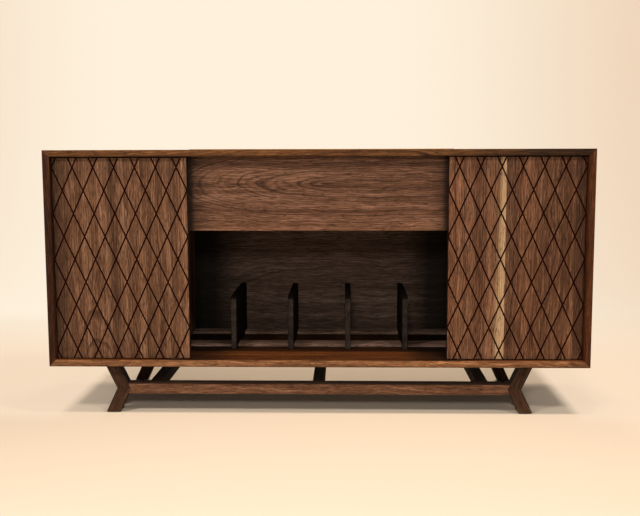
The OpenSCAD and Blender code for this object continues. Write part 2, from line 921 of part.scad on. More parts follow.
// A sloping bar through the point of the Y, cut level at z[0] and z[1]: up is 1 for an arm and -1 for a leg
module splayed_member(s, up, q, z) {
    reach = base_h;
    tip = apex_x - member_h_w / 2;
    color(walnut_light)
        difference() {
            intersection() {
                translate([s * tip, front + q, mid_z])
                    rotate([0, s * up * splay, 0])
                        translate([-member_w / 2, 0, -reach])
                            linear_extrude(2 * reach)
                                polygon(chamfered([0, member_w], [0, frame_t], edge_ease));
                block([-case_w, case_w], [q - past, q + frame_t + past], z);
            }
            bolt_set(fix_clear);
        }
}

module base_arm(s, q) {
    splayed_member(s, 1, q, [mid_z, base_h]);
}

module base_leg(s, q) {
    splayed_member(s, -1, q, [pad_h, mid_z]);
}

module base_arm_front_left() {
    base_arm(-1, frame_qs[0]);
}

module base_arm_front_right() {
    base_arm(1, frame_qs[0]);
}

module base_arm_rear_left() {
    base_arm(-1, frame_qs[1]);
}

module base_arm_rear_right() {
    base_arm(1, frame_qs[1]);
}

module base_leg_front_left() {
    base_leg(-1, frame_qs[0]);
}

module base_leg_front_right() {
    base_leg(1, frame_qs[0]);
}

module base_leg_rear_left() {
    base_leg(-1, frame_qs[1]);
}

module base_leg_rear_right() {
    base_leg(1, frame_qs[1]);
}

module base_rail(x) {
    color(walnut_light)
        difference() {
            eased_block([x - rail_w / 2, x + rail_w / 2], rail_q,
                        [mid_z - stretcher_h / 2, mid_z + stretcher_h / 2]);
            dowel_set(fix_clear);
        }
}

module base_rail_left() {
    base_rail(rail_xs[0]);
}

module base_rail_centre() {
    base_rail(rail_xs[1]);
}

module base_rail_right() {
    base_rail(rail_xs[2]);
}

// Dowels that join each rail to both frames
module dowel_set(grow = 0) {
    l = dowel_in_frame + dowel_in_rail + 2 * grow;
    for (x = rail_xs) {
        rod_q(x, rail_q[0] - dowel_in_frame - grow, mid_z, dowel_d + 2 * grow, l);
        rod_q(x, rail_q[1] - dowel_in_rail - grow, mid_z, dowel_d + 2 * grow, l);
    }
}

module base_dowels() {
    color(walnut_light)
        dowel_set();
}

// Bolts that stand in the arms and screw into the case bottom
module bolt_set(grow = 0) {
    for (s = [-1, 1], q = frame_qs)
        rod_z(s * bolt_x, q + frame_t / 2, base_h - bolt_in_arm - grow, bolt_d + 2 * grow,
              bolt_in_arm + insert_l - 1 + grow);
}

module base_bolts() {
    color(steel)
        bolt_set();
}

module threaded_inserts() {
    color(brass)
        difference() {
            for (s = [-1, 1], q = frame_qs)
                rod_z(s * bolt_x, q + frame_t / 2, base_h, insert_d, insert_l);
            bolt_set(fix_clear);
        }
}

module foot_pads() {
    x = apex_x - member_h_w / 2 + (mid_z - pad_h) * tan(splay);
    color(black_plastic)
        for (s = [-1, 1], q = frame_qs)
            rod_z(s * x, q + frame_t / 2, 0, pad_d, pad_h);
}

case_top();
case_bottom();
case_side_left();
case_side_right();
mitre_splines();
partition_left();
partition_right();
centre_panel();
record_player_shelf();
back_panel();
back_screws();
cable_grommets();
lid();
lid_felt_pads();
lid_hinge_lid_leaf();
lid_hinge_case_leaf();
lid_hinge_pin();
lid_leaf_screws();
case_leaf_screws();
left_door();
left_door_glides();
right_door();
right_door_glides();
track_stops();
door_felt_pads();
side_shelf_left();
side_shelf_right();
shelf_pins();
rack_slat_front();
rack_slat_rear();
record_divider_1();
record_divider_2();
record_divider_3();
record_divider_4();
floor_screws();
base_stretcher_front();
base_stretcher_rear();
base_arm_front_left();
base_arm_front_right();
base_arm_rear_left();
base_arm_rear_right();
base_leg_front_left();
base_leg_front_right();
base_leg_rear_left();
base_leg_rear_right();
base_rail_left();
base_rail_centre();
base_rail_right();
base_dowels();
base_bolts();
threaded_inserts();
foot_pads();
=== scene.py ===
import json
import math
import random

import bmesh
import bpy
from mathutils import Matrix, Vector


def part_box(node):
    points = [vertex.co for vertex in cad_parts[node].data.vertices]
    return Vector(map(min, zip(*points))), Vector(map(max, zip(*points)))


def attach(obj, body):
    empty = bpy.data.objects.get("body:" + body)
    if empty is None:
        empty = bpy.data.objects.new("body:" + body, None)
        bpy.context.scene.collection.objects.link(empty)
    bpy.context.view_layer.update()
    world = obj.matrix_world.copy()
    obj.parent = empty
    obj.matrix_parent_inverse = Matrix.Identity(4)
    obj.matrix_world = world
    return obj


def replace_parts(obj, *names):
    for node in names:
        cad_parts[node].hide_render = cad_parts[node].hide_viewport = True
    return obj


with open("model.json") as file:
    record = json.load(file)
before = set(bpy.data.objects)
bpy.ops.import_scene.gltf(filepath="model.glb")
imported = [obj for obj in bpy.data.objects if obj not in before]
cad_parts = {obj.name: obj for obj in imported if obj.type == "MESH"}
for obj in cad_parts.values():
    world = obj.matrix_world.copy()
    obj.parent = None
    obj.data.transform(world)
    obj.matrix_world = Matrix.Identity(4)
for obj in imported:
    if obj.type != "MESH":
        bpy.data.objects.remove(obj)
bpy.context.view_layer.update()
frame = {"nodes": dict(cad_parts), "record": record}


# Camera
# The console was photographed from in front and a little right of its middle, with the lens at the height
# of the top board. Its place, aim and focal length were fitted to the edges of the case, lattice and base.
MM = 0.001
CAMERA_X = 80.5 * MM
CAMERA_AWAY = 2585 * MM
CAMERA_Z = 750.3 * MM
CAMERA_YAW = math.radians(1.624)
CAMERA_PITCH = math.radians(6.63)
CAMERA_ROLL = math.radians(0.179)
FRAME_PX = 640
FOCAL_PX = 937.7
SENSOR_MM = 36

case_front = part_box("case_top")[0].y
forward = Vector((-math.sin(CAMERA_YAW), math.cos(CAMERA_YAW), 0))
up = Vector((0, 0, 1))
aim = forward * math.cos(CAMERA_PITCH) - up * math.sin(CAMERA_PITCH)
crown = forward * math.sin(CAMERA_PITCH) + up * math.cos(CAMERA_PITCH)
side = aim.cross(crown)
side, crown = (side * math.cos(CAMERA_ROLL) - crown * math.sin(CAMERA_ROLL),
               side * math.sin(CAMERA_ROLL) + crown * math.cos(CAMERA_ROLL))
lens = bpy.data.cameras.new("camera")
lens.sensor_width = SENSOR_MM
lens.lens = FOCAL_PX / FRAME_PX * SENSOR_MM
camera = bpy.data.objects.new("camera", lens)
camera.matrix_world = Matrix((
    (side.x, crown.x, -aim.x, CAMERA_X),
    (side.y, crown.y, -aim.y, case_front - CAMERA_AWAY),
    (side.z, crown.z, -aim.z, CAMERA_Z),
    (0, 0, 0, 1),
))
bpy.context.scene.collection.objects.link(camera)
bpy.context.scene.camera = camera


# Paper sweep
# A wide roll of matt cream paper: a level floor that curves up into the wall behind. It takes the shadow of
# the console and has no sheen. Away from the console it is seen as pale as paper under a strong light. Under
# and beside the console, a painted glow lifts that shadow.
PAPER = "#E6DCCD"
# The glow is painted warmer near the console and browner to the sides, as the light falls off
PAPER_SEEN = "#FFF1DC"
PAPER_SEEN_LOW = "#FBE1C4"
PAPER_SEEN_ASIDE = "#EDD2B6"
# In metres: how far from a line along the console the paper begins to glow, and glows in full
GLOW_Y = -0.35
GLOW_HALF_WIDTH = 0.6
GLOW_START = 0.65
GLOW_FULL = 1.85
# How far to either side of this place the glow begins to brown, and is brownest: painted falloff of light
ASIDE_X = -0.5
ASIDE_START = 0.7
ASIDE_FULL = 2.9
# From the front of the console back, the floor glows by these (place across it, share) pairs: a painted
# glow that lifts the console's shadow a little under it, more beside its feet, and nearly wholly further out
SHADOW_LIFT_SHARES = ((-0.75, 0.85), (-0.715, 0.34), (-0.63, 0.3), (-0.6, 0.018), (0.6, 0.018), (0.63, 0.12),
                 (0.715, 0.15), (0.75, 0.85))
SHADOW_LIFT_REACH = 1.0
SHADOW_LIFT_START = -0.34
SHADOW_LIFT_FULL = -0.2
SWEEP_WIDTH = 14.0
SWEEP_FRONT = -7.0
SWEEP_BACK = 3.2
SWEEP_HEIGHT = 5.0
SWEEP_RADIUS = 1.4
SWEEP_STEPS = 24


def linear(colour):
    """The linear RGBA of an sRGB hex colour."""
    parts = [int(colour[i:i + 2], 16) / 255 for i in (1, 3, 5)]
    return (*(c / 12.92 if c <= 0.04045 else ((c + 0.055) / 1.055) ** 2.4 for c in parts), 1)


def add(tree, kind, inputs=None, out=0, stops=None, **settings):
    """Adds a node and gives its output socket, or the node if it has none. inputs are values, or the sockets
    that feed it; stops are a ramp's (place, colour) pairs; settings are the node's own options."""
    node = tree.nodes.new(kind)
    for name, value in settings.items():
        setattr(node, name, value)
    for name, value in (inputs or {}).items():
        if isinstance(value, bpy.types.NodeSocket):
            tree.links.new(value, node.inputs[name])
        else:
            node.inputs[name].default_value = value
    if stops:
        elements = node.color_ramp.elements
        elements.remove(elements[1])
        for i, (place, colour) in enumerate(stops):
            stop = elements[0] if i == 0 else elements.new(place)
            stop.position = place
            stop.color = linear(colour) if isinstance(colour, str) else (colour, colour, colour, 1)
    return node.outputs[out] if node.outputs else node


def new_material(name):
    """A material with an empty node tree."""
    material = bpy.data.materials.new(name)
    material.use_nodes = True
    material.node_tree.nodes.clear()
    return material


def finish_material(material, shader):
    """Sends a shader to the material's output."""
    add(material.node_tree, "ShaderNodeOutputMaterial", {"Surface": shader})
    return material


def mesh_object(name, mesh, material, body=None, smooth=True):
    """Links a bmesh as an object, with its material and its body."""
    data = bpy.data.meshes.new(name)
    mesh.to_mesh(data)
    mesh.free()
    for polygon in data.polygons:
        polygon.use_smooth = smooth
    data.materials.append(material)
    obj = bpy.data.objects.new(name, data)
    bpy.context.scene.collection.objects.link(obj)
    if body:
        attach(obj, body)
    return obj


def seen_light(tree):
    """1 for light that is seen straight, mirrored or through something clear, 0 for light on the console."""
    rays = add(tree, "ShaderNodeLightPath").node
    seen = add(tree, "ShaderNodeMath", {0: rays.outputs["Is Camera Ray"], 1: rays.outputs["Is Glossy Ray"]},
               operation="MAXIMUM")
    return add(tree, "ShaderNodeMath", {0: seen, 1: rays.outputs["Is Transmission Ray"]},
               operation="MAXIMUM")


def paper_glow(tree):
    """How the paper glows from place to place, as painted light in the console's shadow, and in what colour.
    """
    spot = add(tree, "ShaderNodeTexCoord", out="Object")
    spot = add(tree, "ShaderNodeSeparateXYZ", {0: spot}).node
    x, y = spot.outputs["X"], spot.outputs["Y"]
    away = add(tree, "ShaderNodeMath", {0: y, 1: GLOW_Y}, operation="SUBTRACT")
    away = add(tree, "ShaderNodeMath", {0: away}, operation="ABSOLUTE")
    wide = add(tree, "ShaderNodeMath", {0: x}, operation="ABSOLUTE")
    wide = add(tree, "ShaderNodeMath", {0: wide, 1: GLOW_HALF_WIDTH}, operation="SUBTRACT")
    away = add(tree, "ShaderNodeMath", {0: away, 1: wide}, operation="MAXIMUM")
    away = add(tree, "ShaderNodeMapRange", {"Value": away, "From Min": GLOW_START, "From Max": GLOW_FULL},
               interpolation_type="SMOOTHSTEP")
    aside = add(tree, "ShaderNodeMath", {0: x, 1: ASIDE_X}, operation="SUBTRACT")
    aside = add(tree, "ShaderNodeMath", {0: aside}, operation="ABSOLUTE")
    aside = add(tree, "ShaderNodeMapRange",
                {"Value": aside, "From Min": ASIDE_START, "From Max": ASIDE_FULL},
                interpolation_type="SMOOTHSTEP")
    tint = add(tree, "ShaderNodeMix", {0: aside, 6: linear(PAPER_SEEN), 7: linear(PAPER_SEEN_ASIDE)}, out=2,
               data_type="RGBA")
    tint = add(tree, "ShaderNodeMix", {0: away, 6: linear(PAPER_SEEN_LOW), 7: tint}, out=2, data_type="RGBA")
    # Painted light: the glow that lifts the console's shadow on the floor
    shadow_lift = add(tree, "ShaderNodeMapRange", {"Value": x, "From Min": -SHADOW_LIFT_REACH,
                                              "From Max": SHADOW_LIFT_REACH})
    shadow_lift = add(tree, "ShaderNodeValToRGB", {0: shadow_lift}, stops=[
        ((place + SHADOW_LIFT_REACH) / (2 * SHADOW_LIFT_REACH), share) for place, share in SHADOW_LIFT_SHARES])
    behind = add(tree, "ShaderNodeMapRange", {"Value": y, "From Min": SHADOW_LIFT_START, "From Max": SHADOW_LIFT_FULL},
                 interpolation_type="SMOOTHSTEP")
    shadow_lift = add(tree, "ShaderNodeMath", {0: shadow_lift, 1: behind}, operation="MULTIPLY")
    return add(tree, "ShaderNodeMath", {0: away, 1: shadow_lift}, operation="MAXIMUM"), tint


paper = new_material("matt_paper_sweep")
tree = paper.node_tree
share, tint = paper_glow(tree)
share = add(tree, "ShaderNodeMath", {0: seen_light(tree), 1: share}, operation="MULTIPLY")
matt = add(tree, "ShaderNodeBsdfDiffuse", {"Color": linear(PAPER)})
glow = add(tree, "ShaderNodeEmission", {"Color": tint, "Strength": 1.0})
finish_material(paper, add(tree, "ShaderNodeMixShader", {0: share, 1: matt, 2: glow}))

sweep = bmesh.new()
profile = [(SWEEP_FRONT, 0.0)]
for i in range(SWEEP_STEPS + 1):
    turn = i / SWEEP_STEPS * math.pi / 2
    profile.append((SWEEP_BACK - SWEEP_RADIUS + SWEEP_RADIUS * math.sin(turn),
                    SWEEP_RADIUS - SWEEP_RADIUS * math.cos(turn)))
profile.append((SWEEP_BACK, SWEEP_HEIGHT))
rows = [[sweep.verts.new((x, y, z)) for x in (-SWEEP_WIDTH / 2, SWEEP_WIDTH / 2)] for y, z in profile]
for low, high in zip(rows, rows[1:]):
    sweep.faces.new((low[0], low[1], high[1], high[0]))
mesh_object("sweep", sweep, paper)


# Lamps
# Small soft lamps: one in front, two on stands left and right of the camera, a warm one above, and a wide
# one behind for the floor. Where shadows end on the doors, the centre panel and the bay tells their places.
AIR = "#D6E2FA"
AIR_STRENGTH = 0.075


def lamp(name, place, target, size, power, colour):
    """A square lamp that faces a point, with places and size in metres and power in watts."""
    light = bpy.data.lights.new(name, "AREA")
    light.size = size
    light.energy = power
    light.color = linear(colour)[:3]
    obj = bpy.data.objects.new(name, light)
    obj.location = place
    obj.rotation_euler = (Vector(target) - Vector(place)).to_track_quat("-Z", "Y").to_euler()
    bpy.context.scene.collection.objects.link(obj)


lamp("front_lamp", (0.0, -3.2, 1.45), (0, 0, 0.4), size=0.35, power=31, colour="#FFF4E6")
lamp("left_lamp", (-1.38, -1.69, 1.98), (-0.1, 0, 0.4), size=0.3, power=28, colour="#FFF0DE")
lamp("right_lamp", (1.38, -1.69, 1.98), (0.1, 0, 0.4), size=0.3, power=18, colour="#FFF0DE")
lamp("ceiling_lamp", (0.49, -0.8, 3.0), (0.1, -0.2, 0), size=0.3, power=58, colour="#FFE6CC")
lamp("back_lamp", (0.2, 1.75, 2.3), (0, 0.6, 0), size=0.9, power=50, colour="#FFEAD2")
world = bpy.data.worlds.new("studio_air")
world.use_nodes = True
tree = world.node_tree
tree.nodes.clear()
dim = add(tree, "ShaderNodeBackground", {"Color": linear(AIR), "Strength": AIR_STRENGTH})
pale = add(tree, "ShaderNodeBackground", {"Color": linear(PAPER_SEEN), "Strength": 1.0})
surroundings = add(tree, "ShaderNodeMixShader", {0: seen_light(tree), 1: dim, 2: pale})
add(tree, "ShaderNodeOutputWorld", {"Surface": surroundings})
bpy.context.scene.world = world
bpy.context.scene.view_settings.view_transform = "Standard"


# Case
# Four boards of solid black walnut, 19 mm thick, mitred and splined at the corners, with the grain running
# round the case. They are planed, sanded and oiled. Their front edges have their own tones, and the lower
# arrises of the top and bottom front edges are painted dark as shade.
WALNUT_DARK = "#3E281B"
WALNUT_MID = "#614331"
WALNUT_LIGHT = "#85624D"
WALNUT_RING = "#24140E"
WALNUT_SAP = "#A88E70"
WALNUT_PORE = "#1E110C"
# Painted shade in the grooves
GROOVE_SHADE = "#1E0602"
# Sizes of the figure in mm, along the board, across it and into it. Real fibres and pores are 0.1 to 0.3 mm
# wide: these are drawn ten times as wide, to show from a step away. The rings have their real width.
RING_WIDTH = 5.5
WANDER_SIZE = (5000 / 11, 200, 200)
WANDER = 50
RIPPLE_SIZE = (1000 / 7, 500 / 7, 500 / 7)
RIPPLE = 16
STREAK_SIZE = (1000 / 0.9, 200 / 9, 200 / 9)
FIBRE_SIZE = (200 / 3, 2.5, 2.5)
PORE_SIZE = (200 / 11, 10 / 3, 10 / 3)
PORE_DEPTH = 0.1
FIBRE_CONTRAST = 0.28
# How much the rings differ in width, how dark the faintest and the boldest end, and how rare bold ones are
RING_UNEVENNESS = 0.35
FAINTEST_RING = 0.2
BOLDEST_RING = 0.98
FEW_BOLD = 2.2
# A marked ring darkens over the first distance in mm, and ends within the second
MARK_FADE = 2.0
MARK_END = 0.6
MARK_DARK = 0.85
MARK_MARGIN = 3
# Sapwood, in mm: the rise over which its edge is given, how ragged that edge is, and how far it fades
SAP_RISE = 570
SAP_RAGGED = 14
SAP_FADE = 15
# In mm: painted shade in a cut is quite dark from this depth on, and ends before the second
GROOVE_SHADE_FADE = 0.3
GROOVE_SHADE_DEPTH = 3
WOOD_IOR = 1.5
OIL_ROUGHNESS = 0.66
OIL_UNEVENNESS = 0.08
OIL_SHINE = 0.1
DULL_SHINE = 0.02
nodes = frame["nodes"]


def repeats(size):
    """How often a pattern with this size in mm along each axis repeats in a metre."""
    return tuple(1 / (length * MM) for length in size)


def bent_log(tree, log, figure):
    """The place that a spot in the log would have if the tree had grown straight. Its rings wander over half
    a metre and ripple over a few centimetres."""
    slow = add(tree, "ShaderNodeVectorMath", {0: log, 1: repeats(WANDER_SIZE)}, operation="MULTIPLY")
    slow = add(tree, "ShaderNodeTexNoise", {"Vector": slow, "Scale": 1.0, "Detail": 1.5}, out="Color")
    quick = add(tree, "ShaderNodeVectorMath", {0: log, 1: repeats(RIPPLE_SIZE)}, operation="MULTIPLY")
    quick = add(tree, "ShaderNodeTexNoise", {"Vector": quick, "Scale": 1.0, "Detail": 2.0}, out="Color")
    wander, ripple = WANDER * MM * figure, RIPPLE * MM
    bent = add(tree, "ShaderNodeVectorMath", {0: slow, 1: (0, wander, wander), 2: log},
               operation="MULTIPLY_ADD")
    return add(tree, "ShaderNodeVectorMath", {0: quick, 1: (0, ripple, ripple), 2: bent},
               operation="MULTIPLY_ADD")


def ring_radius(tree, bent, along, across, pith, bow, figure, knot):
    """How far a spot is from the middle of the tree, which bows away from the board before its level part."""
    shift = (WANDER * figure + RIPPLE) / 2
    run = add(tree, "ShaderNodeMath", {0: along, 1: pith[0] * MM}, operation="SUBTRACT")
    run = add(tree, "ShaderNodeMath", {0: run, 1: 0.0}, operation="MINIMUM")
    run = add(tree, "ShaderNodeMath", {0: run, 1: run}, operation="MULTIPLY")
    run = add(tree, "ShaderNodeMath", {0: run, 1: bow}, operation="MULTIPLY")
    run = add(tree, "ShaderNodeCombineXYZ", {2: run})
    middle = (0, -(pith[1] + shift) * MM, -(pith[2] + shift) * MM)
    rise = add(tree, "ShaderNodeVectorMath", {0: bent, 1: middle}, operation="ADD")
    rise = add(tree, "ShaderNodeVectorMath", {0: rise, 1: (0, 1, 1)}, operation="MULTIPLY")
    rise = add(tree, "ShaderNodeVectorMath", {0: rise, 1: run}, operation="ADD")
    radius = add(tree, "ShaderNodeVectorMath", {0: rise}, out="Value", operation="LENGTH")
    if knot:
        at, high, reach, push = (size * MM for size in knot)
        centre = add(tree, "ShaderNodeCombineXYZ", {0: along, 1: across})
        centre = add(tree, "ShaderNodeVectorMath", {0: centre, 1: (at, high, 0)}, operation="SUBTRACT")
        centre = add(tree, "ShaderNodeVectorMath", {0: centre}, out="Value", operation="LENGTH")
        swell = add(tree, "ShaderNodeMapRange",
                    {"Value": centre, "From Max": reach, "To Min": push, "To Max": 0.0},
                    interpolation_type="SMOOTHERSTEP")
        radius = add(tree, "ShaderNodeMath", {0: radius, 1: swell}, operation="ADD")
    return radius


def late_wood(tree, radius, marks):
    """How dark a spot is as late wood. Years differ in width and in how dark they end, at a sharp line, and
    marks are the radii in mm of the boldest rings."""
    age = add(tree, "ShaderNodeMath", {0: radius, 1: RING_WIDTH * MM}, operation="DIVIDE")
    uneven = add(tree, "ShaderNodeMath", {0: age, 1: RING_UNEVENNESS}, operation="MULTIPLY")
    uneven = add(tree, "ShaderNodeTexNoise", {"W": uneven, "Scale": 1.0, "Detail": 1.0},
                 noise_dimensions="1D")
    age = add(tree, "ShaderNodeMath", {0: age, 1: uneven}, operation="ADD")
    year = add(tree, "ShaderNodeMath", {0: age}, operation="FLOOR")
    year = add(tree, "ShaderNodeTexWhiteNoise", {"W": year}, noise_dimensions="1D")
    bold = add(tree, "ShaderNodeMath", {0: year, 1: FEW_BOLD}, operation="POWER")
    bold = add(tree, "ShaderNodeMath", {0: bold, 1: BOLDEST_RING - FAINTEST_RING, 2: FAINTEST_RING},
               operation="MULTIPLY_ADD")
    growth = add(tree, "ShaderNodeMath", {0: age}, operation="FRACT")
    late = add(tree, "ShaderNodeValToRGB", {0: growth}, stops=[(0.45, 0.0), (0.9, 1.0), (1.0, 0.0)])
    late = add(tree, "ShaderNodeMath", {0: late, 1: bold}, operation="MULTIPLY")
    if not marks:
        return late
    start, end = marks[0] - MARK_MARGIN, marks[-1] + MARK_MARGIN
    stops = [(0.0, 0.0)]
    for mark in marks:
        for place, dark in ((mark - MARK_FADE, 0.0), (mark, MARK_DARK), (mark + MARK_END, 0.0)):
            stops.append(((place - start) / (end - start), dark))
    drawn = add(tree, "ShaderNodeMapRange", {"Value": radius, "From Min": start * MM, "From Max": end * MM})
    drawn = add(tree, "ShaderNodeValToRGB", {0: drawn}, stops=stops)
    return add(tree, "ShaderNodeMath", {0: late, 1: drawn}, operation="MAXIMUM")


def with_sapwood(tree, wood, along, across, fibre, sap):
    """Lays a pale streak of sapwood on the wood. sap is the place of its edge at the floor, that of its edge
    SAP_RISE above, and the joint where the next stave covers it, in mm."""
    low, high, joint = (place * MM for place in sap)
    edge = add(tree, "ShaderNodeMath", {0: along, 1: (high - low) / (SAP_RISE * MM), 2: low},
               operation="MULTIPLY_ADD")
    edge = add(tree, "ShaderNodeMath", {0: fibre, 1: SAP_RAGGED * MM, 2: edge}, operation="MULTIPLY_ADD")
    inside = add(tree, "ShaderNodeMath", {0: across, 1: edge}, operation="SUBTRACT")
    inside = add(tree, "ShaderNodeMath", {0: inside, 1: SAP_FADE * MM}, operation="DIVIDE", use_clamp=True)
    short = add(tree, "ShaderNodeMath", {0: across, 1: joint}, operation="LESS_THAN")
    inside = add(tree, "ShaderNodeMath", {0: inside, 1: short}, operation="MULTIPLY")
    return add(tree, "ShaderNodeMix", {0: inside, 6: wood, 7: linear(WALNUT_SAP)}, out=2, data_type="RGBA")


def with_bands(tree, stain_and_shade, split, bands):
    """Makes a stain lighter or darker from place to place, as real tone or as painted light and shade. A band
    is (axis, pairs, gate). Its pairs are (place in mm, level or colour) along the axis. Its gate is None, or
    (axis, start, full): it starts to tell at one place in mm along that axis and tells in full from the
    other."""
    for axis, pairs, gate in bands:
        low, high = pairs[0][0], pairs[-1][0]
        most = max(1.0 if isinstance(value, str) else value for _, value in pairs)
        share = add(tree, "ShaderNodeMapRange",
                    {"Value": split.outputs[axis], "From Min": low * MM, "From Max": high * MM})
        share = add(tree, "ShaderNodeValToRGB", {0: share}, stops=[
            ((place - low) / (high - low), value if isinstance(value, str) else value / most)
            for place, value in pairs])
        share = add(tree, "ShaderNodeVectorMath", {0: share, "Scale": most}, operation="SCALE")
        if gate:
            over, start, full = gate
            told = add(tree, "ShaderNodeMapRange",
                       {"Value": split.outputs[over], "From Min": start * MM, "From Max": full * MM})
            share = add(tree, "ShaderNodeMix", {0: told, 6: (1, 1, 1, 1), 7: share}, out=2, data_type="RGBA")
        stain_and_shade = add(tree, "ShaderNodeVectorMath", {0: stain_and_shade, 1: share}, operation="MULTIPLY")
    return stain_and_shade


def walnut(name, axes, pith, drift, bow=0.0, figure=1.0, marks=(), knot=None, sap=None, lean=0.0, tone=1.0,
           wash="#FFFFFF", bands=(), cut=None, gloss=OIL_SHINE):
    """Oiled black walnut, cut from a solid log. It shows rings that end at a sharp dark line, arched or level
    by how the board was sawn, broad streaks of mineral colour, fibres and dark pores, under a dull sheen.

    axes: the axis along the grain, the one across the face and the one into the board
    pith: in mm, where the bow ends along the board, and the middle of the tree on the other two axes
    drift, bow: which part of the log in metres, and how fast its middle bows away, per metre
    figure: how much the rings wander
    marks, knot: radii of the boldest rings, and (along, across, reach, push) of a knot they bend round, in mm
    sap: a streak of sapwood, see with_sapwood
    lean: how far the piece leans to the right, in radians
    tone, wash, bands: level and colour of a stain, and where it differs, with painted light and shade, see
    with_bands
    cut: place in mm along the last axis past which the wood was cut and is painted dark, as shade in the cut
    gloss: how strongly the oil mirrors"""
    material = new_material(name)
    tree = material.node_tree
    spot = add(tree, "ShaderNodeTexCoord", out="Object")
    if lean:
        spot = add(tree, "ShaderNodeVectorRotate", {"Vector": spot, "Angle": -lean}, rotation_type="Y_AXIS")
    split = add(tree, "ShaderNodeSeparateXYZ", {0: spot}).node
    along, across, into = (split.outputs[axis.upper()] for axis in axes)
    start = add(tree, "ShaderNodeMath", {0: along, 1: drift}, operation="ADD")
    log = add(tree, "ShaderNodeCombineXYZ", {0: start, 1: across, 2: into})
    bent = bent_log(tree, log, figure)

    streak = add(tree, "ShaderNodeVectorMath", {0: bent, 1: repeats(STREAK_SIZE)}, operation="MULTIPLY")
    streak = add(tree, "ShaderNodeTexNoise",
                 {"Vector": streak, "Scale": 1.0, "Detail": 4.0, "Roughness": 0.62})
    fibre = add(tree, "ShaderNodeVectorMath", {0: bent, 1: repeats(FIBRE_SIZE)}, operation="MULTIPLY")
    fibre = add(tree, "ShaderNodeTexNoise", {"Vector": fibre, "Scale": 1.0, "Detail": 4.0, "Roughness": 0.65})
    pore = add(tree, "ShaderNodeVectorMath", {0: bent, 1: repeats(PORE_SIZE)}, operation="MULTIPLY")
    pore = add(tree, "ShaderNodeTexNoise", {"Vector": pore, "Scale": 1.0, "Detail": 1.0})
    pore = add(tree, "ShaderNodeMapRange", {"Value": pore, "From Min": 0.58, "From Max": 0.7, "To Max": 0.6})
    shade = add(tree, "ShaderNodeMix", {0: 0.5, 2: streak, 3: fibre})
    wood = add(tree, "ShaderNodeValToRGB", {0: shade},
               stops=[(0.36, WALNUT_DARK), (0.5, WALNUT_MID), (0.64, WALNUT_LIGHT)])
    if sap:
        wood = with_sapwood(tree, wood, along, across, fibre, sap)
    late = late_wood(tree, ring_radius(tree, bent, along, across, pith, bow, figure, knot), marks)
    wood = add(tree, "ShaderNodeMix", {0: late, 6: wood, 7: linear(WALNUT_RING)}, out=2, data_type="RGBA")
    wood = add(tree, "ShaderNodeMix", {0: pore, 6: wood, 7: linear(WALNUT_PORE)}, out=2, data_type="RGBA")

    level = add(tree, "ShaderNodeMapRange", {"Value": fibre, "From Min": 0.3, "From Max": 0.7,
                                             "To Min": (1 - FIBRE_CONTRAST) * tone,
                                             "To Max": (1 + FIBRE_CONTRAST) * tone})
    stain_and_shade = add(tree, "ShaderNodeVectorMath", {0: linear(wash)[:3], "Scale": level}, operation="SCALE")
    stain_and_shade = with_bands(tree, stain_and_shade, split, bands)
    wood = add(tree, "ShaderNodeMix", {0: 1.0, 6: wood, 7: stain_and_shade}, out=2, data_type="RGBA",
               blend_type="MULTIPLY")
    shine = gloss
    if cut is not None:
        # Painted shade on the walls of the cut
        cut_shade = add(tree, "ShaderNodeMapRange",
                   {"Value": into, "From Min": cut * MM, "From Max": (cut + GROOVE_SHADE_FADE) * MM})
        near = add(tree, "ShaderNodeMath", {0: into, 1: (cut + GROOVE_SHADE_DEPTH) * MM}, operation="LESS_THAN")
        cut_shade = add(tree, "ShaderNodeMath", {0: cut_shade, 1: near}, operation="MULTIPLY")
        wood = add(tree, "ShaderNodeMix", {0: cut_shade, 6: wood, 7: linear(GROOVE_SHADE)}, out=2, data_type="RGBA")
        shine = add(tree, "ShaderNodeMapRange", {"Value": cut_shade, "To Min": gloss, "To Max": DULL_SHINE})
    # The pores are twice as deep as the fibres stand out
    height = add(tree, "ShaderNodeMath", {0: pore, 1: -2.0, 2: fibre}, operation="MULTIPLY_ADD")
    bump = add(tree, "ShaderNodeBump", {"Height": height, "Distance": PORE_DEPTH * MM, "Strength": 0.6})
    rough = add(tree, "ShaderNodeMath",
                {0: fibre, 1: 2 * OIL_UNEVENNESS, 2: OIL_ROUGHNESS - OIL_UNEVENNESS},
                operation="MULTIPLY_ADD")
    return finish_material(material, add(tree, "ShaderNodeBsdfPrincipled", {
        "Base Color": wood, "Roughness": rough, "Normal": bump, "IOR": WOOD_IOR, "Specular IOR Level": shine,
    }))


def dress(name, material):
    """Gives a CAD node its material."""
    obj = nodes[name]
    if not obj.material_slots:
        obj.data.materials.append(material)
    for slot in obj.material_slots:
        slot.material = material


# The front edge of the top board is darker and yellower to the right
TOP_BANDS = (
    ("X", ((-762, 0.9), (-380, 1.02), (0, 0.93), (440, 0.62), (600, 0.18), (762, 0.14)), ("Y", -226, -228)),
    ("Y", ((-228.5, "#FFF2C4"), (-227, "#FFF2C4"), (-225, "#FFFFFF"), (228.5, "#FFFFFF")), None),
    # Painted shade on the lowest few mm of the front edge, under its eased arris
    ("Z", ((730, 0.45), (732.5, 0.6), (735, 0.95), (737, 1.0), (750, 1.0)), ("Y", -224, -227)),
)
